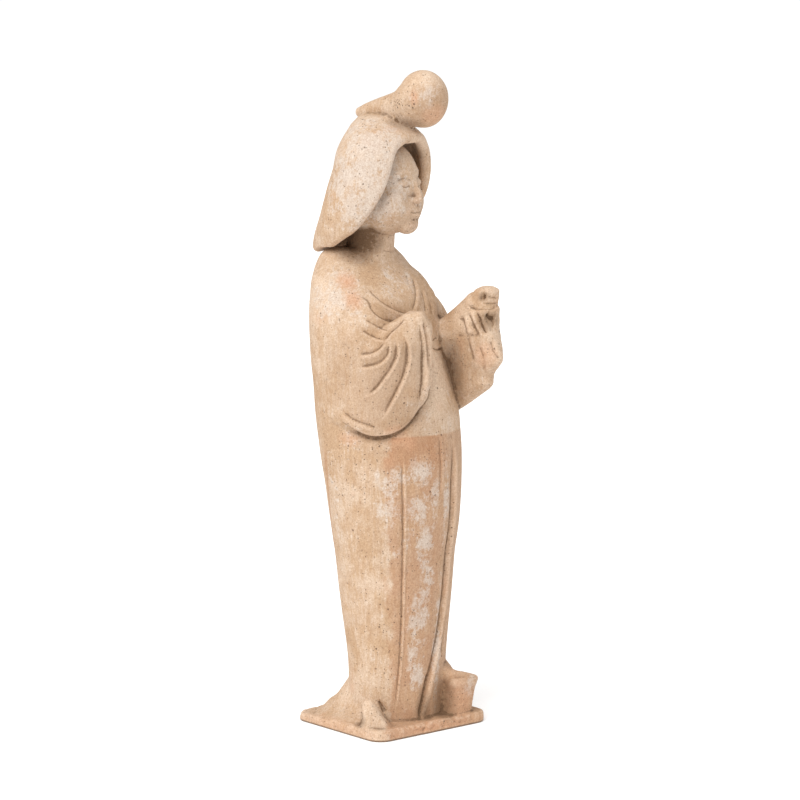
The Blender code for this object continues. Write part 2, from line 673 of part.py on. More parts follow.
def hood(clay, place):
    """The hair as a thick sheet over the head, cut away from temple to nape with a rolled edge."""
    along = np.arange(181.0)
    edge = spline(HAIR_RIM, along)[:, 1]
    slope = np.gradient(edge, np.radians(along) * HAIR_REACH)
    inset = HAIR_ROLL / np.hypot(1.0, slope)
    middle = np.degrees(-slope * inset / HAIR_REACH) + along
    edge = edge + inset
    turns = np.linspace(-180.0, 180.0, SEGMENTS, endpoint=False)
    rim = np.interp(np.abs(turns), middle, edge)
    crown = HAIR[-1][0]
    rows = [
        on_hair(turns, rim + (crown - rim) * math.sin(share * math.pi / 2))
        for share in np.linspace(0.0, 1.0, HOOD_RINGS)
    ]
    sheet = bmesh.new()
    skin(sheet, rows, place, closed=False)
    bmesh.ops.recalc_face_normals(sheet, faces=sheet.faces)
    bmesh.ops.solidify(sheet, geom=sheet.faces[:], thickness=HAIR_THICKNESS)
    mesh = bpy.data.meshes.new("hood")
    sheet.to_mesh(mesh)
    sheet.free()
    clay.from_mesh(mesh)
    bpy.data.meshes.remove(mesh)
    for side in (1, -1):
        roll = on_hair(side * middle[::ROLL_STEP], edge[::ROLL_STEP], HAIR_THICKNESS / 2)
        limb(clay, [(*point, HAIR_ROLL) for point in roll], place)


def head_mass():
    """Neck, head, hair and topknot."""
    place = Matrix.Translation(NECK_FOOT) @ Matrix.Rotation(HEAD_TURN, 4, "Z")
    clay = bmesh.new()
    limb(clay, NECK, place)
    ball(clay, *SKULL, place)
    ball(clay, *HAIR_FILL, place)
    ball(clay, *JAW, place)
    ball(clay, *CHIN, place)
    for side in (place, place @ Matrix.Scale(-1.0, 4, (1.0, 0.0, 0.0))):
        for mass in (CHEEK, EYE, NOSTRIL):
            ball(clay, *mass, side)
        for bar in (UPPER_LIP, LOWER_LIP):
            limb(clay, bar, side)
    limb(clay, NOSE, place)
    hood(clay, place)
    limb(clay, TOPKNOT, place)
    ball(clay, *TOPKNOT_BALL, place)
    return fuse(clay, CLAY_GRAIN, HEAD_RUBS)


def figure():
    """The whole figure as one skin in sculptor's units."""
    clay = bmesh.new()
    for mesh in (draped_mass(), head_mass()):
        clay.from_mesh(mesh)
    loft(clay, FIST, square=3.2)
    loft(clay, NEAR_TOE, Matrix.Rotation(SLEEVE_FACING, 4, "Z"), square=2.4)
    loft(clay, FAR_TOE, square=3.0)
    limb(clay, TOE_FLARE)
    limb(clay, FAR_INSTEP)
    limb(clay, NEAR_INSTEP)
    mesh = fuse(clay, CLAY_GRAIN, FIGURE_RUBS)
    nudge(mesh, NUDGED)
    rub(mesh, RUBBED)
    carve(mesh, (
        (from_three_quarters, VIEW_FOLDS),
        (round_the_robe, wrapped(SKIRT_FOLDS)),
        (front_of_face, FACE_LINES),
    ))
    return mesh


def rise(edge):
    return abs(edge.verts[0].co.z - edge.verts[1].co.z)


def slab():
    """Rounded rectangular base slab, resting on its underside."""
    plate = bmesh.new()
    size = Matrix.Diagonal((SLAB_WIDTH, SLAB_DEPTH, SLAB_THICKNESS, 1.0))
    lift = Matrix.Translation((0.0, 0.0, SLAB_THICKNESS / 2))
    bmesh.ops.create_cube(plate, size=1.0, matrix=lift @ size)
    upright = [edge for edge in plate.edges if rise(edge) > SLAB_THICKNESS / 2]
    bmesh.ops.bevel(plate, geom=upright, offset=SLAB_CORNER_RADIUS, segments=8, profile=0.5, affect="EDGES")
    rims = [edge for edge in plate.edges if rise(edge) < SLAB_EDGE_ROUNDING]
    bmesh.ops.bevel(plate, geom=rims, offset=SLAB_EDGE_ROUNDING, segments=2, profile=0.5, affect="EDGES")
    mesh = bpy.data.meshes.new("slab")
    plate.to_mesh(mesh)
    plate.free()
    return mesh


def clay_material():
    material = bpy.data.materials.new("fired clay")
    material.use_nodes = True
    shader = material.node_tree.nodes["Principled BSDF"]
    shader.inputs["Base Color"].default_value = CLAY_COLOUR
    shader.inputs["Roughness"].default_value = CLAY_ROUGHNESS
    return material


def main():
    for thing in list(bpy.data.objects):
        bpy.data.objects.remove(thing)
    body = figure()
    body.transform(Matrix.Translation((0.0, 0.0, SLAB_THICKNESS)) @ Matrix.Scale(UNIT, 4))
    body.calc_loop_triangles()
    lady = bpy.data.objects.new("court_lady", body)
    base = bpy.data.objects.new("slab", slab())
    for thing in (lady, base):
        bpy.context.scene.collection.objects.link(thing)
    base.hide_render = True
    base.display_type = "WIRE"
    thin = lady.modifiers.new("Decimate", "DECIMATE")
    thin.ratio = FIGURE_TRIANGLES / len(body.loop_triangles)
    join = lady.modifiers.new("Slab", "BOOLEAN")
    join.operation = "UNION"
    join.object = base
    body.materials.clear()
    body.materials.append(clay_material())
    for polygon in body.polygons:
        polygon.use_smooth = True


if __name__ == "__main__":
    main()
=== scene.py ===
"""Pottery court lady: the finely worked clay, its finish, and a plain studio round it.

The forms are written in sculptor's units, one unit being a millimetre at the figure height
given here, counted up from the top face of the slab.  The figure faces -Y.
"""

import math

import bmesh
import bpy
import numpy as np
from bpy.props import FloatProperty, FloatVectorProperty, IntProperty, PointerProperty
from mathutils import Matrix, Vector


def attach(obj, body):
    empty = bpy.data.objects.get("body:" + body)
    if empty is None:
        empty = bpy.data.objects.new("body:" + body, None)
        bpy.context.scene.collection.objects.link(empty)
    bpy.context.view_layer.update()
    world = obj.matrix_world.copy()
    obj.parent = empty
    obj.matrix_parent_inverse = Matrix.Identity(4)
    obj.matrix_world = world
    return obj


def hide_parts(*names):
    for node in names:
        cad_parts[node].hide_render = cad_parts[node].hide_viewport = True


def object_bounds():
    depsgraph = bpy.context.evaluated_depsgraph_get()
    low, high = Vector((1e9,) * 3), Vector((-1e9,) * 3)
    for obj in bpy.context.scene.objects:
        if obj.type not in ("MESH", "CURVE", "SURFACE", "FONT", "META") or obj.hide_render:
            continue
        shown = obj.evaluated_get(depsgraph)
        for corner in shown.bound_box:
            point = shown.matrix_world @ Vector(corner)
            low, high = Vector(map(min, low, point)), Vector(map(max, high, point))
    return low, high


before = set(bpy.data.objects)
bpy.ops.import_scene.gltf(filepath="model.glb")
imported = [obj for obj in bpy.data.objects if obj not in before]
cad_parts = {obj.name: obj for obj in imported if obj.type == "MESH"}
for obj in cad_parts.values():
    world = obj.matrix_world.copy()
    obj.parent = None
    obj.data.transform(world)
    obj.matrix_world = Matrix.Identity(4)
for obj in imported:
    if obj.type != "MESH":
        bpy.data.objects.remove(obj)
CAD_LOW, CAD_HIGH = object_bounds()

bl_info = {
    "name": "Pottery court lady",
    "version": (1, 0, 0),
    "blender": (4, 5, 0),
    "location": "3D View > Sidebar > Court lady",
    "description": "Models a robed lady in unglazed pottery on her slab base",
    "category": "Add Mesh",
}

# The figure's height in sculptor's units, and a millimetre

UNITS_HIGH = 363.5
MM = 0.001

# Rounding of the slab's top and bottom edges, and how far a rim's points may lie off its level

SLAB_ROUNDING = 2.0
SLAB_FOOT_ROUNDING = 0.9
SAME_LEVEL = 0.1

# How finely the forms and the lines of their folds are cut before they are pressed together

SEGMENTS = 96
RINGS = 90
ROBE_RINGS = 140
HOOD_RINGS = 60
BALL_CUTS = 5
BAR_CUTS = 10
CORNER_CUTS = 12
EDGE_CUTS = 5
FOLD_CUTS = 40

# How square the ovals of each form are, 2 being a plain oval

ROBE_SQUARE = 2.1
TRAIN_SQUARE = 3.0
NEAR_SLEEVE_SQUARE = 2.8
FAR_SLEEVE_SQUARE = 2.4
FIST_SQUARE = 3.2
NEAR_TOE_SQUARE = 2.4
FAR_TOE_SQUARE = 3.0

# How hard one smoothing pass rubs, and the passes once all masses are pressed together

RUB_STRENGTH = 0.5
LAST_RUBS = 2

# Share of a fold's length over which it fades out, where fading stops, how pointed its bottom is

FOLD_TAPER = 0.18
FOLD_END = 0.1
FOLD_POINT = 1.4

# How far from a fold's line its crest stands and its last trace ends, in widths of its side

CREST_OFFSET = 2.0
FOLD_REACH = 4

# How the depth of a fold fades where the skin turns away, and from the face to the hair

VIEW_FADE = 2.5
ROUND_FADE = 2.0
FACE_BACK = -18.0
FACE_BLEND = 4.0

# Turn of the near sleeve, which is modelled face on, and how far its two ends bend back

SLEEVE_FACING = math.radians(-50.0)
SLEEVE_BEND = (0.0165, 0.0105)

# Three quarters and a little above, from where the folds of chest and sleeves are laid out

VIEW_TURN = math.radians(-40.0)
VIEW_DROP = 0.14

# Turn of the head to its left, and where its neck stands

HEAD_TURN = math.radians(20.0)
NECK_FOOT = (-1.0, 17.0, 0.0)

# Robe and torso, from hem to shoulders: height, centre x and y, half width, half depth

ROBE = (
    (-3, 0, -4.5, 28, 24.5),
    (13, 0, -4.7, 28.3, 24.8),
    (35, 0, -4.7, 29, 25.5),
    (50, 0, -4.3, 31, 26.5),
    (70, 0, -3.6, 33.3, 28.6),
    (92, 0, -3.2, 35.4, 30.5),
    (112, 0, -3, 38, 33.3),
    (134, 0, -1.5, 40, 35.4),
    (148, 0, 0.2, 41.2, 36.6),
    (160, 0, 2, 41.6, 37),
    (172, -0.5, 3.2, 42, 36.6),
    (180, -1, 4.3, 42, 35),
    (192, -2, 5.8, 42, 32.5),
    (204, -3, 8.4, 41.5, 30),
    (216, -3.5, 9.8, 41, 29),
    (228, -4.5, 11.3, 39.5, 27.5),
    (239, -5, 13.5, 37, 25.5),
    (248, -5, 17.5, 33.8, 21),
    (255, -4, 20.3, 30.2, 17.6),
    (260, -3, 21.5, 25.5, 14.5),
    (264, -2, 20.5, 17, 11),
)

# The hem that trails on the slab behind, in the same columns

TRAIN = (
    (-3, 0, 6, 40.5, 31),
    (0, 0, 6, 39.5, 30.5),
    (2, 0, 6, 35.5, 28),
    (4.5, 0, 6.5, 32, 25.5),
    (8, 0, 4.7, 29, 22.3),
    (14, 0, 2, 26.5, 20),
    (20, 0, 0, 24, 18),
)

# Near sleeve, face on: height, centre across and back, half width, half thickness

NEAR_SLEEVE = (
    (163.2, -2.5, -36, 4.6, 4.5),
    (165, -4.7, -36, 12.7, 5.5),
    (168, -6.7, -36, 18.3, 6.2),
    (171.5, -7.5, -36, 23, 6.5),
    (179, -6.2, -35.5, 26.8, 6.8),
    (184, -4.9, -35, 28.4, 7),
    (192, -3.8, -34.2, 29.8, 7),
    (201, -3.3, -33.5, 29.3, 7),
    (209, -1.2, -33, 27.2, 7),
    (216, 6.4, -32.5, 19.9, 6.8),
    (223.6, 13.4, -30.5, 12.5, 6.5),
    (229, 17.3, -29.5, 7.2, 5.5),
    (232, 18.9, -29.5, 4.1, 3.5),
)

# Far sleeve hanging from the raised wrist, in the columns of the robe

FAR_SLEEVE = (
    (171, 37, -10.4, 4, 4.4),
    (173.5, 37, -11.6, 5.5, 7.6),
    (180.4, 37, -17.2, 6.8, 14.2),
    (187.2, 37, -22.6, 7.2, 19.1),
    (194, 37, -23.9, 7.6, 19.2),
    (200.8, 37, -27.4, 8.2, 21.5),
    (207.6, 37, -27.7, 9, 21.4),
    (214.4, 37, -26.9, 9.8, 20),
    (221, 37, -28.4, 10.2, 16.6),
    (228, 37, -32, 9.6, 13),
    (232, 37, -36, 8, 10),
)

# Arms, neck and topknot as limbs: x, y, height, radius

NEAR_ARM = (
    (-30, 12, 236, 12),
    (-29.5, -1.5, 206, 12),
    (-20, -17, 211, 12),
    (-7, -29, 222, 9),
)
FAR_ARM = (
    (29, 14, 233, 10),
    (33, 8, 221, 12),
    (36, 4, 200, 13),
    (37, -16, 216, 12.5),
    (37, -32, 230.5, 9.5),
)
NECK = (
    (0, 4, 246, 19),
    (0, 2, 255, 15.5),
    (0, 0.5, 263, 13.6),
    (0, -1, 282, 13),
)
TOPKNOT = (
    (2, 7.5, 339, 3.2),
    (2, 2, 340.2, 4.6),
    (2, -9, 341.8, 6.8),
    (2.5, -20, 343, 9.8),
    (3, -27, 344.6, 13),
)
TOPKNOT_BALL = ((3.4, -31.6, 347), (14, 14.4, 16.1))

# Head, elbow and fist as rounded masses: centre, then radii

SKULL = ((0, -6, 299), (20.5, 22.8, 26.5))
HAIR_FILL = ((0, 0, 298), (29, 19, 27))
JAW = ((0, -12, 286.5), (19.5, 18.2, 15))
CHIN = ((0, -23.4, 277.6), (8, 6, 6))
CHEEK = ((8.6, -19.4, 289.5), (10, 8.6, 11))
EYE = ((8, -23.9, 300.2), (4.8, 3.6, 3))
NOSTRIL = ((2.4, -30, 291), (1.7, 2.1, 1.5))
ELBOW = ((-22, 0, 204), (21, 22, 36))

# Fist, in the columns of the robe

FIST = (
    (226, 36.5, -34.5, 6, 6.5),
    (231, 37, -35.5, 7, 7.8),
    (235.5, 37.4, -36.4, 7, 7.8),
    (239, 38.2, -37.2, 6.2, 6.9),
    (241.8, 38.8, -37.8, 4.8, 5.4),
    (243.2, 39, -38, 2.4, 2.6),
)

# Nose, and the half of the lips on the left of the face: x, y, height, radius

NOSE = (
    (0, -27.2, 304.5, 1.3),
    (0, -29.4, 298.5, 1.5),
    (0, -31.2, 293.4, 1.9),
    (0, -31.6, 291.6, 2.1),
)
UPPER_LIP = ((0, -30, 285.3, 1.1), (2.2, -29.8, 285.8, 1.1), (5.8, -27.4, 284.7, 0.6))
LOWER_LIP = ((0, -29.9, 282.7, 1.5), (2.4, -29.5, 282.8, 1.3), (4.9, -27.8, 283.7, 0.7))

# The robe running out over the far toe, and the ridge along it: x, y, height, radius

TOE_FLARE = (
    (19, -13.5, 36, 3.5),
    (20.5, -16.5, 28, 4.4),
    (21.8, -21.2, 21, 5.4),
    (24, -23, 13, 7),
    (25, -23.5, 3, 8),
)
FAR_INSTEP = (
    (20, -17, 29, 3.6),
    (18, -23.2, 24.5, 3.9),
    (20.5, -29, 21.6, 3.8),
    (26, -32.5, 21, 2.6),
    (33, -33.5, 18.8, 2.4),
)

# The near shoe from under the hem to its toe, in the same columns

NEAR_INSTEP = ((-21, -10.5, 2.5, 6.5), (-32, -21.5, 3, 6))

# Upturned toes of the shoes: height, centre x and y, half width, half depth

NEAR_TOE = (
    (-2, -1, -41.5, 9.6, 5.8),
    (2, -1.8, -41.3, 8.2, 5.2),
    (7, -4, -41, 5.4, 4.6),
    (11.5, -5.6, -41, 3.9, 3.6),
    (14.8, -6, -41, 1.8, 1.6),
)
FAR_TOE = (
    (-2, 23.8, -28.5, 8.8, 6.5),
    (6, 24.2, -29.5, 8.8, 6.2),
    (14, 24.8, -31, 9.2, 5.5),
    (19, 25, -32.5, 9.8, 4.5),
    (21, 25, -33, 8.5, 3),
)

# Hair: height, centre y, half width, half depth, from the nape up to the crown

HAIR = (
    (255, 10.5, 22, 22),
    (259, 9.5, 25, 24),
    (263.5, 8, 27, 25.5),
    (268.5, 6, 30, 26),
    (280.5, 1, 33.5, 26),
    (290, -3.3, 34.2, 27.4),
    (299, -6.2, 33.6, 27.8),
    (308.5, -8, 32, 26.6),
    (319.5, -8.2, 29.6, 24.2),
    (329.5, -7.8, 22, 19),
    (335, -5.5, 15, 13),
    (338, -4, 8, 7),
    (339, -3, 0.5, 0.5),
)

# Lower edge of the hair: degrees round from the front, height

HAIR_RIM = (
    (0, 322.5),
    (28, 321),
    (38, 317.5),
    (44, 311),
    (48, 302.5),
    (53, 291.5),
    (60.5, 280),
    (68, 274.6),
    (78, 271),
    (101, 264.2),
    (140, 260.8),
    (180, 259.8),
)
HAIR_THICKNESS = 6.5

# The hair's rolled edge: its radius, degrees between its knots, and the hair's usual reach

HAIR_ROLL = 3.3
ROLL_STEP = 4
HAIR_REACH = 30.0

# Degrees round from the front to the back

HALF_TURN = 180.0

# Folds seen from three quarters: line across and up, crisp width, soft width, depth, crest

CHEST_FOLDS = (
    (((11.6, 226.6), (6.2, 227.2), (0.2, 229.6), (-5.8, 233.4), (-10.2, 237.4), (-13.6, 240.8)),
     0.6, 1.3, 0.8, 0.3),
    (((3.9, 222.8), (-0.5, 222.4), (-5.8, 224.2), (-11, 228.8), (-13.2, 233.4), (-17.6, 236.3)),
     0.6, 1.6, 1, 0.3),
    (((-1.3, 217), (-5.8, 218), (-10.3, 220.6), (-14.8, 222.8)), 0.5, 1.3, 0.7, 0.2),
    (((-4.3, 212), (-6.5, 212.2), (-11.8, 214.2), (-16.3, 217)), 0.6, 1.5, 0.9, 0.3),
    (((8.4, 249.6), (10, 243)), 0.8, 1.2, 0.5, 0.2),
    (((11.8, 248), (13.6, 241.4), (13.8, 236.2), (11.8, 228)), 0.6, 1.2, 0.8, 0.3),
    (((17, 240.6), (18.8, 234.6), (19.6, 227.2)), 0.6, 1.6, 0.8, 0.3),
    (((21.8, 233.2), (23.2, 226.4)), 0.6, 1.4, 0.5, 0.2),
    (((6.8, 223.9), (3.2, 219.8), (-1.3, 215.8), (-4.5, 211.3)), 0.9, 1.6, 1.9, 0),
    (((22.9, 208), (26, 206.8), (28.6, 208)), 0.6, 0.9, 1, 0.2),
    (((23, 211.6), (25.6, 213.8)), 0.5, 0.8, 0.8, 0),
    (((-5.3, 262.8), (-1.8, 262.3), (1.8, 262.8)), 0.5, 1, 0.4, 0.1),
)
SLEEVE_FOLDS = (
    (((-4.3, 210.2), (-6.3, 207.3), (-10, 204.7), (-14.4, 203.6), (-18, 203.6)),
     0.6, 2.6, 1.5, 0.5),
    (((-2.3, 208.7), (-2, 204.3), (-5.6, 199.5), (-12.2, 197), (-17.3, 196.7)), 0.6, 2.8, 1.5, 0.5),
    (((2, 210.2), (2.8, 204.3), (0.2, 197), (-4.9, 189.6), (-10.7, 183), (-13.3, 181.5)),
     0.6, 3.2, 1.7, 0.6),
    (((6.8, 212.4), (8.3, 208.7), (9, 201.4), (6.8, 191.8), (2.4, 182.2), (-2.7, 172.7),
      (-4.5, 169.7)), 0.6, 3.4, 1.8, 0.7),
    (((15, 220), (16.6, 215), (17.7, 209), (18, 199.5), (17.8, 190.5), (16.8, 181.5), (15, 176)),
     0.7, 2.4, 2.2, 0.2),
    (((18.1, 222), (19.3, 217.6), (20.4, 212.9), (21.1, 205.9), (21.6, 200.4), (21.9, 195)),
     0.8, 1.2, 3.6, 0.3),
    (((-8.5, 162.3), (-14.5, 164.4), (-21.4, 167.2), (-27, 171.5)), 0.7, 1.8, 1, 0.5),
    (((-28.3, 209.8), (-24, 208.4)), 0.5, 1.5, 0.4, 0),
)
SLEEVE_EDGE = (
    (((-29, 166.8), (-24.5, 163.4), (-19.5, 160.2), (-11.8, 157.3), (-5.3, 157.3), (3, 159.6),
      (11.2, 166), (16.7, 174.3)), 0.7, 2.6, 2.3, 0.5),
    (((11.2, 166), (16.7, 174.3), (20.2, 179.2), (21.6, 187.6), (22.4, 198)), 0.7, 1.8, 1, 0.4),
)
CUFF_FOLDS = (
    (((38.9, 225.4), (41, 218), (41.8, 214.4)), 0.8, 2, 1.5, 0.6),
    (((42.4, 227.4), (46, 218.6), (48.6, 213.4)), 0.8, 2.2, 1.8, 0.7),
    (((46.8, 228), (49.2, 223.2), (50.8, 219.2), (53.6, 215.2)), 0.8, 1.6, 2.1, 0.6),
    (((53.2, 226.4), (53.8, 224.6)), 1.1, 1.3, 1.4, 0),
    (((52.6, 226), (55, 224.6), (58.8, 223.6)), 2.6, 2.6, 3.2, 0),
    (((42.3, 231.2), (46.6, 229.4), (53, 229.4), (58.6, 230)), 0.9, 1.4, 1.4, 0.3),
    (((42, 213.6), (43.5, 207.2), (45.7, 199.8)), 1, 3.4, 1.2, 0.4),
    (((55.4, 211.8), (57.3, 205.2), (61, 201)), 1, 3.4, 1.3, 0.5),
    (((48.5, 209), (51, 201), (51.5, 193)), 1, 3, 0.8, 0.3),
    (((36.4, 214.8), (41, 214), (48, 214.4)), 1.4, 2.4, 0.8, 0),
)
FINGER_LINES = (
    (((49.8, 237.2), (52.6, 236.5)), 2, 2.2, 3.2, 0),
    (((54.4, 241.2), (55.3, 236.3)), 0.5, 0.7, 0.6, 0),
    (((54, 236.2), (59.2, 235.4)), 0.45, 0.6, 0.9, 0),
    (((50, 232.8), (54.5, 232.4), (59.2, 232.8)), 0.45, 0.7, 0.9, 0),
)
TOE_FOLDS = (
    (((-3.6, 1), (-5.6, 4.2), (-8.2, 7.6)), 0.6, 1.2, 2, 0),
)
VIEW_FOLDS = CHEST_FOLDS + SLEEVE_FOLDS + SLEEVE_EDGE + CUFF_FOLDS + FINGER_LINES + TOE_FOLDS

# Folds of the skirt, their lines given in degrees round the robe from the front, and up

SKIRT_FOLDS = (
    (((-34.5, 153), (-33, 118), (-33, 75), (-34, 46), (-36.5, 27), (-42, 4)),
     0.45, 1.5, 0.8, 0.7),
    (((10, 161), (9, 146), (7.5, 128)), 0.9, 0.9, 0.6, 0.2),
    (((31, 159), (29.5, 130), (29.5, 100), (27.5, 66), (22, 46), (12, 30), (1, 14),
      (-11, -2)), 1.2, 3.8, 2.4, 0.8),
    (((9, 26), (1.6, 13), (-8.6, 0.5)), 1.2, 3, 1.7, 0),
    (((36.5, 58), (34, 44), (31, 34)), 1, 2, 1.3, 0),
    (((66, 140), (63, 90), (60, 30)), 1.2, 2, 0.8, 0.2),
    (((100, 150), (101, 90), (103, 25)), 1.2, 2.4, 0.9, 0.2),
    (((138, 160), (140, 90), (144, 25)), 1.4, 2.6, 1, 0.2),
    (((180, 165), (181, 90), (180, 22)), 1.4, 2.6, 1, 0.2),
    (((222, 155), (220, 90), (216, 25)), 1.2, 2.4, 0.9, 0.2),
)

# The robe's middle, the turn in degrees that its folds don't cross, and the width of a degree

ROBE_AXIS = (0, -3.5)
ROBE_CUT = -90.0
ROUND_STEP = 0.6

# Lines of the face, across and up as seen from its front, on its left half

FACE_LINES = (
    (((2.6, 305.4), (7, 307.4), (13.5, 305.2)), 1.3, 1.3, -0.45, 0),
    (((2.8, 301.8), (7.5, 303.6), (12.8, 302)), 1.2, 1.2, 0.7, 0),
    (((3.6, 300), (7.8, 298.4), (12.4, 300.2)), 0.5, 0.7, 0.65, 0),
    (((0, 284.2), (2.8, 283.9), (6.2, 284.7)), 0.5, 0.5, 0.75, 0),
    (((0, 279.9), (3, 280.2)), 1.3, 1.3, 0.45, 0),
    (((0, 289), (0, 286.8)), 0.7, 0.7, 0.25, 0),
)

# Places rubbed together by hand before the folds are pressed: centre, radii, passes

RUBBED = (
    ((19, 6, 285), (13, 13, 17), 60),
    ((-9, -4, 285), (13, 13, 17), 60),
    ((24, 6, 249), (15, 15, 15), 50),
    ((8, -8, 291), (22, 16, 28), 4),
    ((-1, 8, 257), (24, 18, 10), 60),
    ((0, 4, 0), (46, 40, 11), 40),
    ((17, -27, 12), (14, 9, 18), 14),
    ((15.5, -28, 17), (6.5, 6.5, 13), 45),
    ((-26, -22, 3), (16, 16, 8), 14),
    ((3, -14, 344), (18, 22, 18), 90),
    ((30, -18, 226), (16, 16, 16), 60),
)

# Places pushed or pulled a little: centre, radii, movement

NUDGED = (
    ((-44, 36, 0.5), (34, 34, 6.5), (0, 0, -1.6)),
    ((33, -49, 192.5), (8, 7, 4), (-1.5, 2.2, 0)),
    ((34, -50, 203), (9, 6, 6), (0, -1.2, 0)),
    ((-27, -30, 4), (5, 6, 9), (1.5, 2.6, 0)),
    ((-25, 22, 257), (14, 15, 9), (0.8, 0, 3.4)),
    ((-3, -37, 205), (6, 6, 24), (0.9, -0.7, 0)),
    ((27, 4, 243), (12, 13, 10), (2.4, 0, 0.8)),
    ((21, 12, 257), (12, 14, 8), (-0.3, 0, -1.6)),
    ((30, -6, 233), (10, 12, 9), (2.2, -1.2, 0.6)),
    ((37, -37, 236), (11, 11, 10), (-0.8, 0.6, -0.4)),
)

# Marks on the surface: the middle, the radii and the strength of each spot

MARKS = {
    "slip": (
        ((-10, -36, 143), (12, 9, 11), 1),
        ((-21, -31.5, 140), (8, 7, 12), 0.75),
        ((-28, -28.5, 128), (13, 10, 26), 0.68),
        ((-9.7, -36, 121.5), (8, 8, 11), 0.8),
        ((-18, -33, 108), (9, 8, 26), 0.45),
        ((-6, -35, 101), (9, 8, 13), 0.95),
        ((-2, -34, 84), (8, 8, 14), 0.7),
        ((1.3, -36.7, 126), (5, 6, 22), 0.6),
        ((-9, -29.5, 46), (6, 8, 30), 0.65),
        ((-6, -31, 25), (8.5, 8, 15), 0.85),
        ((-3, -32, 40), (7, 8, 16), 0.45),
        ((-5, -32, 62), (10, 8, 24), 0.6),
        ((9, -29, 48), (5, 6, 56), 0.75),
        ((28, -36, 16), (8, 7, 8), 0.8),
        ((14, -30, 166), (10, 12, 6), 0.4),
        ((-22, -8, 306), (34, 38, 50), 0.95),
        ((6, -14, 292), (26, 30, 30), 0.4),
        ((4, -24, 350), (16, 16, 16), 0.48),
        ((2, -4, 243), (24, 18, 20), 0.42),
        ((-36, 4, 238), (20, 22, 26), 0.7),
        ((-38, -10, 160), (12, 20, 26), 0.25),
        ((10, -35, 124), (5, 7, 32), 0.85),
        ((-28, -12, 220), (14, 16, 18), 0.35),
        ((-40, 4, 110), (6, 12, 70), 0.45),
        ((-6, -38, 180), (20, 8, 16), 0.5),
        ((8, -25, 350), (9, 9, 9), 0.75),
    ),
    # A cream wash on belly, cuff and shoulder, and painted fill light on the belly and a painted
    # highlight on the topknot's top
    "pale": (
        ((5, -29, 186), (15, 15, 17), 1.2),
        ((11, -24, 203), (15, 16, 25), 1.6),
        ((27, -29, 227), (9, 10, 13), 0.9),
        ((-37, 4, 236), (20, 24, 28), 0.5),
        ((2, -4, 243), (22, 18, 18), 0.3),
        ((-6, -16, 354), (13, 20, 9), 0.6),
        ((4, -22, 360.5), (14, 14, 9), 1),
    ),
    "blush": (
        ((-30.5, 2, 247), (7, 9, 9), 1.2),
        ((-32, -4.5, 237.5), (6, 9, 8), 1.2),
        ((-24, -33, 164), (10, 7, 7), 1),
        ((-15.5, -33, 159.5), (6, 6, 5), 0.6),
        ((-40, -11, 161), (6, 10, 5), 0.6),
        ((20, -36, 9), (15, 8, 14), 0.8),
        ((31, -44, 205), (8, 9, 9), 0.7),
        ((-21, -20, 303), (4, 5, 8), 0.6),
        ((0.3, -19.7, 348.7), (2.6, 5, 8), 1.4),
        ((12, -25, 337), (10, 11, 9), 1.1),
        ((0, -38, -4), (46, 6, 8), 0.9),
        ((-42, 0, -4), (6, 46, 8), 0.5),
        ((-14, -33, 50), (3, 6, 46), 0.5),
    ),
    # Darker clay, and painted shade on the skirt under the near sleeve, the face, the topknot's
    # shaded side and the far sleeve
    "tan": (
        ((-22, -26, 186), (36, 28, 46), 0.9),
        ((-18, -34, 170), (26, 16, 18), 0.9),
        ((22, -31, 8), (22, 16, 26), 1),
        ((10, -26, 341), (20, 22, 21), 1.1),
        ((-38, -8, 200), (14, 18, 34), 0.5),
        ((4, -14, 285), (24, 30, 26), 0.7),
        ((36, -30, 200), (14, 26, 30), 0.5),
        ((0, 0, -2), (60, 56, 14), 0.5),
    ),
    # Burial dirt, and painted shade in the hollows under the hair and at the nape, beside the far
    # sleeve and in the fist
    "earth_and_shade": (
        ((-17, 18, 262), (14, 20, 12), 1),
        ((-6, 34, 258), (18, 18, 11), 1),
        ((34, -12, 198), (10, 17, 34), 1),
        ((30, -17, 195), (9, 12, 27), 0.75),
        ((36.5, -44.5, 225), (6, 5, 5), 0.8),
        ((32, -43, 224), (6, 6, 7), 0.6),
        ((30.8, -41.4, 238.2), (4.6, 4.6, 3.8), 1),
        ((12, -32, 8), (9, 8, 18), 0.9),
        ((-25, -27, 6), (5, 5, 8), 0.9),
        ((-37, -19, 2), (5, 7, 6), 1),
        ((4, -6, 333.5), (12, 16, 4), 0.6),
        ((-1, -30, 6), (6, 6, 14), 0.8),
        ((-12, 20, 268), (15, 26, 12), 1.7),
        ((2, 37, 262), (26, 9.5, 14), 2),
    ),
    "pitted": (
        ((-2, -8, 345), (9, 15, 10), 1.3),
        ((-14, 6, 336), (16, 16, 8), 0.6),
        ((-36, -8, 150), (16, 26, 40), 0.6),
        ((-28, -34, 170), (24, 12, 14), 0.5),
        ((-24, -26, 30), (18, 16, 50), 0.5),
    ),
    "crumble": (
        ((36, -38, 222), (18, 18, 18), 1),
        ((36, -28, 196), (14, 28, 28), 0.7),
        ((-36, -20, 4), (9, 9, 10), 1),
        ((22, -31, 10), (17, 11, 15), 0.6),
        ((3, -6, 336), (11, 19, 7), 0.7),
        ((0, -16, 342), (9, 11, 10), 0.6),
        ((-38, -8, 130), (16, 26, 60), 0.25),
    ),
}

# The marks that the material reads from the finished skin

SURFACE_MARKS = ("slip", "pale", "blush", "tan", "earth_and_shade", "pitted")

# Hollows to mark: the passes that even out the surface, and the depth that counts in full

HOLLOWS = {
    "groove": (8, 0.25 * MM),
    "recess": (60, 1.2 * MM),
}

# Noises in the clay's finish: size of the lumps, detail, roughness, seed

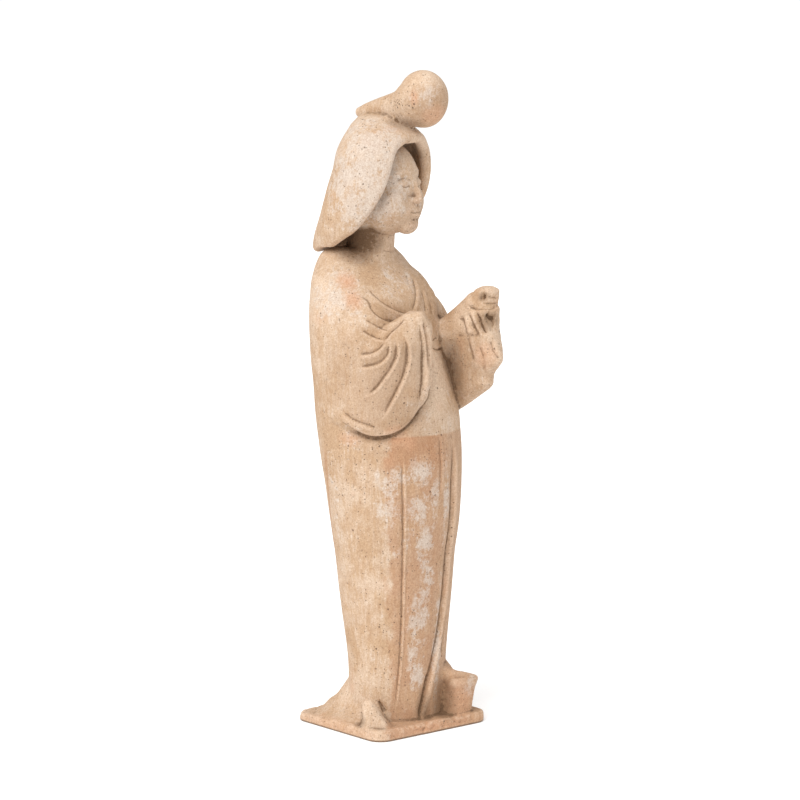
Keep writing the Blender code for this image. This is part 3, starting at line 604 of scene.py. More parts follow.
NOISES = {
    "wide": (38 * MM, 3.0, 0.55, 1.0),
    "patchy": (11 * MM, 4.0, 0.6, 2.0),
    "speckle": (1.7 * MM, 4.0, 0.75, 3.0),
    "grit": (0.8 * MM, 2.0, 0.7, 4.0),
    "streaks": (1.6 * MM, 3.0, 0.7, 5.0),
    "stains": (17 * MM, 3.0, 0.5, 6.0),
    "blotch": (4.6 * MM, 4.0, 0.65, 7.0),
}

# What a height counts as in the streaks, so that they run up and down

STREAK_STRETCH = 0.16

# Pits in the clay: size of the cell that holds each, its largest radius, seed

FINE_PITS = (1.4 * MM, 0.36 * MM, 0.31)
LARGE_PITS = (3.4 * MM, 0.62 * MM, 0.53)
DEEP_PITS = (2.0 * MM, 0.58 * MM, 0.19)

# The smallest pit against the largest, a pit's slope in radii, and the blur of the choice

SMALLEST_PIT = 0.5
PIT_SLOPE = (0.15, -0.35)
PIT_CHOICE = 0.02

# Heights over which a colour of the robe comes in, and how far its edge wavers

WAIST_LINE = (170.0 * MM, 168.8 * MM)
WAIST_WAVER = 1.6 * MM
BAND_FOOT = (148 * MM, 154 * MM)
BAND_WAVER = 8 * MM
SEAM_TOP = (166 * MM, 150 * MM)
SEAM_FOOT = (24 * MM, 34 * MM)
# Heights over which a painted contact shadow darkens the slab's foot
PAINTED_FOOT_SHADOW = (1.7 * MM, 0.5 * MM)

# Turns round the robe over which its flush comes in, in radians from the front

FLUSH_LEFT = (-0.88, -0.78)
FLUSH_RIGHT = (1.9, 1.5)
FLUSH_WAVER = 0.7

# Turns over which its band and its warmth change, and their shares at both ends

BAND_SIDE = (-0.2, -0.5, 0.45, 1.0)
WARM_SIDE = (0.45, 0.10, 0.55, 1.0)

# The mould seam: both its edges, how far it leans with height, and where it has no lean

SEAM_LEFT = (-2.0, -1.96)
SEAM_RIGHT = (-1.88, -1.92)
SEAM_LEAN = 2.6
SEAM_LEVEL = 140 * MM

# Values of noises and marks over which a colour or the roughness comes in

TONE_RANGE = (0.42, 0.58)
FLUSH_RANGE = (0.40, 0.60)
STAIN_RANGE = (0.60, 0.75)
COAT_RANGE = (0.72, 0.85)
WORN_AND_HIGHLIT_RANGE = (0.15, 1.0)
EARTH_AND_SHADE_SPECKLE_RANGE = (0.25, 0.65)
GROOVE_RANGE = (0.25, 1.0)
RECESS_RANGE = (0.4, 1.0)
DEEP_PIT_RANGE = (0.70, 1.0, 0.0, 0.7)
MOTTLE_RANGE = (0.30, 0.70, 0.66, 1.22)
ROUGH_RANGE = (0.3, 0.7, 0.86, 0.97)

# How much of the colour below each of these covers, and how much of each channel mottles

STAIN_COVER = 0.75
WORN_AND_HIGHLIT_COVER = 0.4
EARTH_AND_SHADE_COVER = 0.94
PIT_COVER = 0.7
MOTTLED = {"Red": 0.68, "Green": 0.88, "Blue": 1.0}

# The clay's faint shine, and the height and strength of its fine relief

SHINE = 0.25
RELIEF_HEIGHT = 0.45 * MM
RELIEF_STRENGTH = 0.8

# Heights over which the weathering comes in above the ground, and chips end over the slab

OFF_GROUND = (0.8 * MM, 3.0 * MM)
SLAB_END = (0.6 * MM, -0.6 * MM)

# Noise values that chip, the one that leaves a crumb flat, and the steps between the seeds

CHIP_RANGE = (0.40, 0.80)
CRUMB_MIDDLE = 0.58
CHIP_SEED = 9.0
CRUMB_SEED = 5.0

# The sizes that the weathering takes

WEATHER_SIZES = (
    "unevenness", "lump_size", "chipping", "chip_size", "crumbling", "crumb_size",
    "slab_thickness", "seed",
)

# The photograph's frame, in pixels: its side, its focal length and where its centre line falls

PHOTO_SIDE = 800
PHOTO_FOCAL = 3018.2
PHOTO_CENTRE = 391.6

# Width of the camera's sensor, in millimetres

SENSOR = 36.0

# Where the main light comes from, and the colour of all light

LAMP_FROM = (-1.0, -0.35, 1.15)
WHITE = (1.0, 1.0, 1.0, 1.0)


def spline(table, where):
    """The rows of a table at the places asked for in its first column, on a smooth curve."""
    rows = np.array(table, dtype=float)
    keys = rows[:, 0]
    slopes = np.gradient(rows, keys, axis=0)
    low = np.clip(np.searchsorted(keys, where) - 1, 0, len(keys) - 2)
    gap = (keys[low + 1] - keys[low])[:, None]
    t = (np.asarray(where) - keys[low])[:, None] / gap
    start = (2 * t - 3) * t * t + 1
    start_slope = ((t - 2) * t + 1) * t
    end_slope = (t - 1) * t * t
    pull = start_slope * slopes[low] + end_slope * slopes[low + 1]
    return start * rows[low] + (1 - start) * rows[low + 1] + gap * pull


def ovals(rows, square, bends):
    """One closed oval for each row of height, centre x, centre y, half width and half depth.

    The bends carry the left and the right end of each oval backwards."""
    turn = np.linspace(0.0, 2 * math.pi, SEGMENTS, endpoint=False)
    across = np.sign(np.cos(turn)) * np.abs(np.cos(turn)) ** (2 / square)
    back = np.sign(np.sin(turn)) * np.abs(np.sin(turn)) ** (2 / square)
    height, x, y, half_width, half_depth = (column[:, None] for column in rows.T)
    carried = np.where(across < 0, *bends) * (half_width * across) ** 2
    around = (x + half_width * across, y + half_depth * back + carried, height + 0 * across)
    return np.stack(around, axis=2)


def skin(clay, rings, place, closed=True):
    """Faces between rings of points, with flat ends when closed."""
    made = [[clay.verts.new(place @ Vector(point)) for point in ring] for ring in rings]
    for low, high in zip(made, made[1:]):
        for i in range(len(low)):
            j = (i + 1) % len(low)
            clay.faces.new((low[i], low[j], high[j], high[i]))
    if closed:
        clay.faces.new(made[0][::-1])
        clay.faces.new(made[-1])


def loft(clay, table, square, place=Matrix(), bends=(0.0, 0.0), rings=RINGS):
    """A closed form through the ovals of a table."""
    heights = np.linspace(table[0][0], table[-1][0], rings)
    skin(clay, ovals(spline(table, heights), square, bends), place)


def ball(clay, centre, radii, place=Matrix()):
    """A rounded mass with its own radius each way."""
    shape = place @ Matrix.Translation(centre) @ Matrix.Diagonal((*radii, 1.0))
    bmesh.ops.create_icosphere(clay, subdivisions=BALL_CUTS, radius=1.0, matrix=shape)


def limb(clay, knots, place=Matrix()):
    """A round bar of changing radius along a bevelled curve, with a ball on each end."""
    curve = bpy.data.curves.new("limb", "CURVE")
    curve.dimensions = "3D"
    curve.bevel_depth = 1.0
    curve.bevel_resolution = BAR_CUTS
    curve.use_fill_caps = True
    bar = curve.splines.new("BEZIER")
    bar.bezier_points.add(len(knots) - 1)
    for point, (x, y, z, radius) in zip(bar.bezier_points, knots):
        point.co = place @ Vector((x, y, z))
        point.radius = radius
        point.handle_left_type = point.handle_right_type = "AUTO"
    holder = bpy.data.objects.new("limb", curve)
    mesh = bpy.data.meshes.new_from_object(holder)
    clay.from_mesh(mesh)
    bpy.data.objects.remove(holder)
    bpy.data.curves.remove(curve)
    bpy.data.meshes.remove(mesh)
    for x, y, z, radius in (knots[0], knots[-1]):
        ball(clay, (x, y, z), (radius, radius, radius), place)


def add_form(clay, form):
    """Put a form that was made apart into the clay."""
    mesh = bpy.data.meshes.new("form")
    form.to_mesh(mesh)
    form.free()
    clay.from_mesh(mesh)
    bpy.data.meshes.remove(mesh)


def evaluated(mesh, settings):
    """The mesh after a run of modifiers, each given by its type and its settings."""
    holder = bpy.data.objects.new("clay", mesh)
    bpy.context.scene.collection.objects.link(holder)
    for kind, values in settings:
        modifier = holder.modifiers.new(kind.title(), kind)
        for key, value in values.items():
            if key == "inputs":
                set_inputs(modifier, value)
            else:
                setattr(modifier, key, value)
    bpy.context.view_layer.update()
    graph = bpy.context.evaluated_depsgraph_get()
    result = bpy.data.meshes.new_from_object(holder.evaluated_get(graph))
    bpy.data.objects.remove(holder)
    return result


def set_inputs(modifier, values):
    """Values for a node tree's named inputs, set by the sockets' identifiers."""
    for socket in modifier.node_group.interface.items_tree:
        if socket.item_type == "SOCKET" and socket.in_out == "INPUT" and socket.name in values:
            modifier[socket.identifier] = values[socket.name]


def fuse(clay, grain, rounds):
    """All forms in the clay pressed into one skin and rubbed smooth."""
    mesh = bpy.data.meshes.new("clay")
    clay.to_mesh(mesh)
    clay.free()
    remesh = ("REMESH", {"mode": "VOXEL", "voxel_size": grain})
    smooth = ("SMOOTH", {"factor": RUB_STRENGTH, "iterations": rounds})
    return evaluated(mesh, (remesh, smooth))


def track(path):
    """A smooth line through a few points, cut into short straight lengths."""
    knots = np.array(path, dtype=float)
    lengths = np.hypot(*np.diff(knots, axis=0).T)
    along = np.concatenate([[0.0], np.cumsum(lengths)])
    table = np.column_stack([along, knots])
    return spline(table, np.linspace(0.0, along[-1], FOLD_CUTS + 1))[:, 1:]


def press(flat, fold):
    """How far one fold moves each point out of the skin, from the points' flat positions.

    A fold has its line, the width of its crisp left side as one goes along it, the width of
    its soft side, its depth, and the height of the crest that stands along the crisp side.
    A negative depth is a bead."""
    path, crisp, soft, depth, crest = fold
    line = track(path)
    reach = FOLD_REACH * max(crisp, soft)
    within = (flat > line.min(axis=0) - reach) & (flat < line.max(axis=0) + reach)
    near = np.where(within.all(axis=1))[0]
    here = flat[near]
    best = np.full(len(near), np.inf)
    share = np.zeros(len(near))
    for i, (start, end) in enumerate(zip(line, line[1:])):
        run = end - start
        t = np.clip((here - start) @ run / (run @ run), 0.0, 1.0)
        gap = here - start - t[:, None] * run
        side = np.where(run[0] * gap[:, 1] < run[1] * gap[:, 0], -1.0, 1.0)
        away = np.hypot(gap[:, 0], gap[:, 1]) * side
        closer = np.abs(away) < np.abs(best)
        best[closer] = away[closer]
        share[closer] = ((i + t) / (len(line) - 1))[closer]
    to_end = np.minimum(share, 1 - share) / FOLD_TAPER
    fade = np.sin(math.pi / 2 * np.clip(to_end, FOLD_END, 1.0))
    beside = np.clip(best / (CREST_OFFSET * crisp), 0.0, None)
    wide = np.where(best > 0, crisp, soft)
    shape = crest * beside * np.exp((1 - beside ** 2) / 2)
    shape -= depth * np.exp(-np.abs(best / wide) ** FOLD_POINT)
    moved = np.zeros(len(flat))
    moved[near] = shape * fade
    return moved


def points_of(mesh):
    """The mesh's points and outward directions as two arrays."""
    count = len(mesh.vertices)
    points = np.empty(count * 3)
    normals = np.empty(count * 3)
    mesh.vertices.foreach_get("co", points)
    mesh.vertex_normals.foreach_get("vector", normals)
    return points.reshape(-1, 3), normals.reshape(-1, 3)


def edges_of(mesh):
    """The mesh's edges as pairs of point numbers."""
    edges = np.empty(len(mesh.edges) * 2, dtype=np.int32)
    mesh.edges.foreach_get("vertices", edges)
    return edges.reshape(-1, 2)


def inside_spot(points, centre, radii):
    """One at the middle of an ellipsoid, falling smoothly to nothing at its skin."""
    far = np.sum(((points - centre) / radii) ** 2, axis=1)
    return np.clip(1 - far, 0.0, 1.0)


def rub(mesh, spots):
    """Even out the skin in a few places, so that one form runs softly into the next."""
    points, _ = points_of(mesh)
    edges = edges_of(mesh)
    for centre, radii, passes in spots:
        share = inside_spot(points, centre, radii)
        near = np.where(share > 0)[0]
        place = np.full(len(points), -1)
        place[near] = np.arange(len(near))
        local = place[edges]
        local = local[(local >= 0).all(axis=1)]
        even = spread(points[near], local, passes)
        points[near] += share[near, None] * (even - points[near])
    mesh.vertices.foreach_set("co", points.ravel())
    mesh.update()


def nudge(mesh, pushes):
    """Push or pull the skin a little in a few places."""
    points, _ = points_of(mesh)
    for centre, radii, move in pushes:
        points += inside_spot(points, centre, radii)[:, None] * move
    mesh.vertices.foreach_set("co", points.ravel())
    mesh.update()


def carve(mesh, layouts):
    """Press groups of folds into a mesh.

    Each layout turns points and outward directions into flat positions and a share of
    depth, and goes with the folds it lays out."""
    points, normals = points_of(mesh)
    moved = np.zeros(len(points))
    for layout, folds in layouts:
        flat, share = layout(points, normals)
        moved += share * sum(press(flat, fold) for fold in folds)
    mesh.vertices.foreach_set("co", (points + normals * moved[:, None]).ravel())
    mesh.update()


def from_three_quarters(points, normals):
    """Across and up as seen from three quarters and a little above."""
    toward = np.array([math.sin(VIEW_TURN), -math.cos(VIEW_TURN), VIEW_DROP])
    across = points[:, 0] * math.cos(VIEW_TURN) + points[:, 1] * math.sin(VIEW_TURN)
    near = points[:, :2] @ toward[:2]
    flat = np.stack([across, points[:, 2] - VIEW_DROP * near], axis=1)
    return flat, np.clip(VIEW_FADE * (normals @ toward), 0.0, 1.0)


def round_the_robe(points, normals):
    """Round the robe's axis from the front, and up; the cut is at the robe's right."""
    x = points[:, 0] - ROBE_AXIS[0]
    y = points[:, 1] - ROBE_AXIS[1]
    turn = np.degrees(np.arctan2(x, -y))
    turn = np.where(turn < ROBE_CUT, turn + 360.0, turn)
    outward = (normals[:, 0] * x + normals[:, 1] * y) / np.hypot(x, y)
    flat = np.stack([turn * ROUND_STEP, points[:, 2]], axis=1)
    return flat, np.clip(ROUND_FADE * outward, 0.0, 1.0)


def front_of_face(points, normals):
    """Across and up as seen from the front of the face, both halves folded onto its left."""
    x = points[:, 0] - NECK_FOOT[0]
    y = points[:, 1] - NECK_FOOT[1]
    across = x * math.cos(HEAD_TURN) + y * math.sin(HEAD_TURN)
    back = y * math.cos(HEAD_TURN) - x * math.sin(HEAD_TURN)
    share = np.clip((FACE_BACK - back) / FACE_BLEND, 0.0, 1.0)
    return np.stack([np.abs(across), points[:, 2]], axis=1), share


def wrapped(folds):
    """Folds given in degrees round the robe, with the degrees as lengths."""
    return [(np.array(path) * (ROUND_STEP, 1.0), *rest) for path, *rest in folds]


def draped_mass(sizes):
    """Robe, trailing hem, arms and both sleeves."""
    clay = bmesh.new()
    loft(clay, ROBE, ROBE_SQUARE, rings=ROBE_RINGS)
    loft(clay, TRAIN, TRAIN_SQUARE)
    facing = Matrix.Rotation(SLEEVE_FACING, 4, "Z")
    loft(clay, NEAR_SLEEVE, NEAR_SLEEVE_SQUARE, facing, SLEEVE_BEND)
    loft(clay, FAR_SLEEVE, FAR_SLEEVE_SQUARE)
    limb(clay, NEAR_ARM)
    ball(clay, *ELBOW)
    limb(clay, FAR_ARM)
    return fuse(clay, sizes.grain, sizes.rubs)


def on_hair(turns, heights, inset=0.0):
    """Points on the hair at the given turns in degrees and heights, some way in from its skin."""
    shape = spline(HAIR, heights)
    angle = np.radians(turns)
    x = (shape[:, 2] - inset) * np.sin(angle)
    y = shape[:, 1] - (shape[:, 3] - inset) * np.cos(angle)
    return np.stack([x, y, heights], axis=1)


def hood(clay, place):
    """The hair as a thick sheet over the head, cut away from temple to nape with a rolled edge."""
    along = np.arange(HALF_TURN + 1.0)
    edge = spline(HAIR_RIM, along)[:, 1]
    slope = np.gradient(edge, np.radians(along) * HAIR_REACH)
    inset = HAIR_ROLL / np.hypot(1.0, slope)
    middle = np.degrees(-slope * inset / HAIR_REACH) + along
    edge = edge + inset
    turns = np.linspace(-HALF_TURN, HALF_TURN, SEGMENTS, endpoint=False)
    rim = np.interp(np.abs(turns), middle, edge)
    crown = HAIR[-1][0]
    rows = [
        on_hair(turns, rim + (crown - rim) * math.sin(share * math.pi / 2))
        for share in np.linspace(0.0, 1.0, HOOD_RINGS)
    ]
    sheet = bmesh.new()
    skin(sheet, rows, place, closed=False)
    bmesh.ops.recalc_face_normals(sheet, faces=sheet.faces)
    bmesh.ops.solidify(sheet, geom=sheet.faces[:], thickness=HAIR_THICKNESS)
    add_form(clay, sheet)
    for side in (1, -1):
        roll = on_hair(side * middle[::ROLL_STEP], edge[::ROLL_STEP], HAIR_THICKNESS / 2)
        limb(clay, [(*point, HAIR_ROLL) for point in roll], place)


def head_mass(sizes):
    """Neck, head, hair and topknot."""
    place = Matrix.Translation(NECK_FOOT) @ Matrix.Rotation(HEAD_TURN, 4, "Z")
    clay = bmesh.new()
    limb(clay, NECK, place)
    for mass in (SKULL, HAIR_FILL, JAW, CHIN):
        ball(clay, *mass, place)
    for side in (place, place @ Matrix.Scale(-1.0, 4, (1.0, 0.0, 0.0))):
        for mass in (CHEEK, EYE, NOSTRIL):
            ball(clay, *mass, side)
        for bar in (UPPER_LIP, LOWER_LIP):
            limb(clay, bar, side)
    limb(clay, NOSE, place)
    hood(clay, place)
    limb(clay, TOPKNOT, place)
    ball(clay, *TOPKNOT_BALL, place)
    return fuse(clay, sizes.grain, sizes.rubs)


def round_off(form, edges, radius, cuts):
    """Round some edges of a form."""
    bmesh.ops.bevel(form, geom=edges, offset=radius, segments=cuts, profile=0.5, affect="EDGES")


def slab(clay, sizes, unit):
    """Rounded rectangular base slab under the figure, in sculptor's units."""
    plate = bmesh.new()
    width, depth = sizes.slab_width / unit, sizes.slab_depth / unit
    thickness, corner = sizes.slab_thickness / unit, sizes.slab_corner / unit
    middle = Matrix.Translation((0.0, 0.0, -thickness / 2))
    block = Matrix.Diagonal((width, depth, thickness, 1.0))
    bmesh.ops.create_cube(plate, size=1.0, matrix=middle @ block)
    upright = [
        edge for edge in plate.edges
        if abs(edge.verts[0].co.z - edge.verts[1].co.z) > thickness / 2
    ]
    round_off(plate, upright, corner, CORNER_CUTS)
    for level, rounding in ((0.0, SLAB_ROUNDING), (-thickness, SLAB_FOOT_ROUNDING)):
        rim = [
            edge for edge in plate.edges
            if all(abs(vertex.co.z - level) < SAME_LEVEL for vertex in edge.verts)
        ]
        round_off(plate, rim, rounding, EDGE_CUTS)
    add_form(clay, plate)


def whole_figure(sizes, unit):
    """Figure and slab as one skin in sculptor's units."""
    clay = bmesh.new()
    for mesh in (draped_mass(sizes), head_mass(sizes)):
        clay.from_mesh(mesh)
    loft(clay, FIST, FIST_SQUARE)
    loft(clay, NEAR_TOE, NEAR_TOE_SQUARE, Matrix.Rotation(SLEEVE_FACING, 4, "Z"))
    loft(clay, FAR_TOE, FAR_TOE_SQUARE)
    for bar in (TOE_FLARE, FAR_INSTEP, NEAR_INSTEP):
        limb(clay, bar)
    slab(clay, sizes, unit)
    mesh = fuse(clay, sizes.grain, LAST_RUBS)
    nudge(mesh, NUDGED)
    rub(mesh, RUBBED)
    carve(mesh, (
        (from_three_quarters, VIEW_FOLDS),
        (round_the_robe, wrapped(SKIRT_FOLDS)),
        (front_of_face, FACE_LINES),
    ))
    return mesh


def spread(values, edges, passes):
    """Values on the points shared out along the edges, pass after pass."""
    ends = np.concatenate([edges[:, 0], edges[:, 1]])
    others = np.concatenate([edges[:, 1], edges[:, 0]])
    count = np.maximum(np.bincount(ends, minlength=len(values)), 1)[:, None]
    for _ in range(passes):
        total = np.stack([
            np.bincount(ends, weights=column[others], minlength=len(values)) for column in values.T
        ], axis=1)
        values = (values + total / count) / 2
    return values


def store(mesh, name, values):
    """Keep one number for each point on the mesh, under a name."""
    layer = mesh.attributes.new(name, "FLOAT", "POINT")
    layer.data.foreach_set("value", values.astype(np.float32))


def mark_hollows(mesh):
    """Store how deep each point lies below its surroundings, near and wide, from -1 to 1."""
    points, normals = points_of(mesh)
    edges = edges_of(mesh)
    for name, (passes, depth) in HOLLOWS.items():
        below = np.sum((spread(points, edges, passes) - points) * normals, axis=1) / depth
        store(mesh, name, np.clip(below, -1.0, 1.0))


def mark(mesh, names, unit, lift):
    """Store marks on a mesh in metres, from their places in sculptor's units."""
    points, _ = points_of(mesh)
    points = (points - (0.0, 0.0, lift)) / unit
    for name in names:
        strength = np.zeros(len(points))
        for centre, radii, strong in MARKS[name]:
            strength = np.maximum(strength, strong * inside_spot(points, centre, radii))
        store(mesh, name, strength)


def keep_inside(mesh, low, high):
    """Hold every point inside the solid's own box."""
    points, _ = points_of(mesh)
    mesh.vertices.foreach_set("co", np.clip(points, low, high).ravel())
    mesh.update()


class Signal:
    """A socket that takes part in arithmetic; each step adds its Math node."""

    def __init__(self, sheet, socket):
        self.sheet = sheet
        self.socket = socket

    def _math(self, operation, first, second):
        return self.sheet.node("ShaderNodeMath", {"operation": operation}, {0: first, 1: second})

    def __add__(self, other):
        return self._math("ADD", self, other)

    __radd__ = __add__

    def __sub__(self, other):
        return self._math("SUBTRACT", self, other)

    def __rsub__(self, other):
        return self._math("SUBTRACT", other, self)

    def __mul__(self, other):
        return self._math("MULTIPLY", self, other)

    __rmul__ = __mul__

    def __rtruediv__(self, other):
        return self._math("DIVIDE", other, self)

    def larger(self, other):
        """The larger of this value and another."""
        return self._math("MAXIMUM", self, other)

    def turn_from(self, other):
        """The angle to a point this value across and the other ahead, in radians."""
        return self._math("ARCTAN2", self, other)

    def twin(self, output):
        """Another output of this value's node."""
        return Signal(self.sheet, self.socket.node.outputs[output])

    def ramp(self, low, high, start=0.0, end=1.0):
        """This value's way from low to high, smooth and held between start and end."""
        settings = {"interpolation_type": "SMOOTHSTEP", "clamp": True}
        inputs = {"Value": self, "From Min": low, "From Max": high, "To Min": start, "To Max": end}
        return self.sheet.node("ShaderNodeMapRange", settings, inputs)


class Sheet:
    """A node tree and the one way of adding a node to it."""

    def __init__(self, tree):
        self.tree = tree

    def node(self, kind, settings=None, inputs=None, output=0):
        """A node of the given type: its settings first, then values or links for its sockets."""
        made = self.tree.nodes.new(kind)
        for key, value in (settings or {}).items():
            setattr(made, key, value)
        for key, value in (inputs or {}).items():
            socket = made.inputs[key]
            if isinstance(value, Signal):
                self.tree.links.new(value.socket, socket)
            else:
                socket.default_value = value
        return Signal(self, made.outputs[output])

    def noise(self, where, size, detail, rough, seed):
        """Soft noise whose lumps are the given size in metres, from 0 to 1."""
        grain = {"Scale": 1 / size, "Detail": detail, "Roughness": rough}
        inputs = {"Vector": where, "W": seed, **grain}
        return self.node("ShaderNodeTexNoise", {"noise_dimensions": "4D"}, inputs)

    def blend(self, factor, first, second, mode="MIX"):
        """Two colours mixed by a factor."""
        settings = {"data_type": "RGBA", "blend_type": mode, "clamp_factor": True}
        return self.node("ShaderNodeMix", settings, {0: factor, 6: first, 7: second}, output=2)

    def stored(self, name):
        """The number stored on the piece under a name."""
        return self.node("ShaderNodeAttribute", {"attribute_name": name}, output="Fac")


def pits(sheet, where, kind, share):
    """Round pits in the clay, one in each cell of its kind, kept for a share of the cells."""
    size, radius, seed = kind
    moved = sheet.node("ShaderNodeVectorMath", {"operation": "ADD"}, {0: where, 1: (seed,) * 3})
    inputs = {"Vector": moved, "Scale": 1 / size, "Randomness": 1.0}
    cells = sheet.node("ShaderNodeTexVoronoi", {"feature": "F1"}, inputs)
    pick = sheet.node("ShaderNodeSeparateColor", {}, {"Color": cells.twin("Color")})
    widest = radius / size
    edge = pick.twin("Green").ramp(0.0, 1.0, SMALLEST_PIT * widest, widest)
    near = (cells - edge).ramp(*(radii * widest for radii in PIT_SLOPE))
    return near * pick.ramp(share + PIT_CHOICE, share - PIT_CHOICE)


def skirt_flush(z, turn, wide, patchy):
    """How far the skirt's front is flushed orange, and its stronger band at the waist."""
    below_waist = (z + WAIST_WAVER * patchy).ramp(*WAIST_LINE)
    front = (turn - FLUSH_WAVER * (patchy - 0.5)).ramp(*FLUSH_LEFT) * turn.ramp(*FLUSH_RIGHT)
    apron = below_waist * front
    band = (z + BAND_WAVER * (patchy - 0.5)).ramp(*BAND_FOOT) * turn.ramp(*BAND_SIDE)
    clouds = (0.5 * patchy + 0.5 * wide).ramp(*FLUSH_RANGE)
    warmth = (0.38 + 0.42 * clouds + 0.4 * band) * turn.ramp(*WARM_SIDE)
    return apron * warmth, apron * band


def mould_seam(z, turn, patchy):
    """The thin line where the two halves of the mould met, on the robe's right, near the back."""
    leant = turn + SEAM_LEAN * (SEAM_LEVEL - z)
    line = leant.ramp(*SEAM_LEFT) * leant.ramp(*SEAM_RIGHT)
    return line * z.ramp(*SEAM_TOP) * z.ramp(*SEAM_FOOT) * (0.4 + 0.5 * patchy)


def fired_clay(colours):
    """Unglazed buff earthenware: cream to darker clay, flushed orange, with rubbed slip, pits and
    burial dirt, painted shade in hollows, under the sleeve and at the foot, and painted light on
    ridges, belly and topknot.
    """
    material = bpy.data.materials.new("fired clay")
    material.use_nodes = True
    tree = material.node_tree
    shader = tree.nodes["Principled BSDF"]
    sheet = Sheet(tree)
    place = sheet.node("ShaderNodeTexCoord", output="Object")
    x = sheet.node("ShaderNodeSeparateXYZ", {}, {"Vector": place})
    y, z = x.twin("Y"), x.twin("Z")
    turn = x.turn_from(ROBE_AXIS[1] * MM - y)
    slip, pale, blush, tan, earth_and_shade_spots, pitted = (sheet.stored(name) for name in SURFACE_MARKS)
    groove, recess = (sheet.stored(name) for name in HOLLOWS)
    wide, patchy, speckle, grit, stained, blotch = (
        sheet.noise(place, *NOISES[name])
        for name in ("wide", "patchy", "speckle", "grit", "stains", "blotch")
    )
    stretch = {"Vector": place, "Scale": (1.0, 1.0, STREAK_STRETCH)}
    streaks = sheet.noise(sheet.node("ShaderNodeMapping", {}, stretch), *NOISES["streaks"])

    tone = 0.4 * wide + 0.3 * patchy + 0.3 * streaks
    base = sheet.blend(tone.ramp(*TONE_RANGE), colours.buff, colours.cream)
    # Darker clay, and painted shade where those marks lie in shadow
    base = sheet.blend(tan * (0.55 + 0.9 * (speckle - 0.5)) * 1.2, base, colours.tan)
    flushed, banded = skirt_flush(z, turn, wide, patchy)
    base = sheet.blend(flushed, base, colours.flush)
    stains = 0.35 * stained.ramp(*STAIN_RANGE) + blush * (0.35 + 0.9 * patchy)
    base = sheet.blend(stains * STAIN_COVER, base, colours.blush)
    base = sheet.blend(mould_seam(z, turn, patchy), base, colours.flush)
    # Cream wash, and painted fill light on the belly and a painted highlight on the topknot's top
    pale_wash_and_painted_light = pale * (0.7 + 0.6 * (patchy - 0.5)) * (0.9 - 0.8 * blush)
    base = sheet.blend(pale_wash_and_painted_light, base, colours.pale)

    flecks = 0.22 * streaks + 0.38 * speckle + 0.4 * blotch
    cover = 0.95 * flecks + 0.35 * patchy + slip * 0.22
    coat = cover.ramp(*COAT_RANGE) * (1.0 - 0.7 * blush) * (1.0 - 0.6 * banded)
    base = sheet.blend(coat * (0.6 + 0.2 * slip), base, colours.slip)

    # Every ridge made lighter: rubbed wear, and a painted highlight along the crests
    worn_and_highlit = (groove * -1.0).ramp(*WORN_AND_HIGHLIT_RANGE)
    base = sheet.blend(worn_and_highlit * WORN_AND_HIGHLIT_COVER, base, colours.worn_and_highlit_edge)
    # Earth colour darkens grooves, recesses and the marked spots: partly burial dirt, partly
    # painted shade where occlusion falls
    earth_and_shade_speckle = speckle.ramp(*EARTH_AND_SHADE_SPECKLE_RANGE)
    earth_and_shade = groove.ramp(*GROOVE_RANGE) * (0.35 + 0.45 * earth_and_shade_speckle)
    earth_and_shade = earth_and_shade + earth_and_shade_spots * (0.45 + 0.7 * earth_and_shade_speckle) + recess.ramp(*RECESS_RANGE) * 0.3 * earth_and_shade_speckle
    # Painted contact shadow along the slab's lowest 1.7 mm
    earth_and_shade = earth_and_shade + z.ramp(*PAINTED_FOOT_SHADOW) * 0.9
    base = sheet.blend(earth_and_shade * EARTH_AND_SHADE_COVER, base, colours.earth_and_shade)

    fine = pits(sheet, place, FINE_PITS, 0.22 + 0.5 * pitted)
    large = pits(sheet, place, LARGE_PITS, 0.10 + 0.8 * pitted)
    deep = pits(sheet, place, DEEP_PITS, pitted.ramp(*DEEP_PIT_RANGE))
    pit = fine.larger(large).larger(deep)
    base = sheet.blend(pit * PIT_COVER, base, colours.pit)
    mottle = (0.4 * speckle + 0.6 * grit).ramp(*MOTTLE_RANGE)
    channels = {name: (1.0 - share) + share * mottle for name, share in MOTTLED.items()}
    grains = sheet.node("ShaderNodeCombineColor", {}, channels)
    base = sheet.blend(1.0, base, grains, "MULTIPLY")

    relief = 0.35 * speckle + 0.18 * grit + 0.25 * streaks - 1.1 * pit
    bump = {"Height": relief, "Distance": RELIEF_HEIGHT, "Strength": RELIEF_STRENGTH}
    tree.links.new(base.socket, shader.inputs["Base Color"])
    tree.links.new(patchy.ramp(*ROUGH_RANGE).socket, shader.inputs["Roughness"])
    tree.links.new(sheet.node("ShaderNodeBump", {}, bump).socket, shader.inputs["Normal"])
    shader.inputs["Specular IOR Level"].default_value = SHINE
    return material


def weather_values(sizes):
    """The sizes that the weathering takes, under their names in the panel."""
    names = sizes.bl_rna.properties
    return {names[key].name: float(getattr(sizes, key)) for key in WEATHER_SIZES}


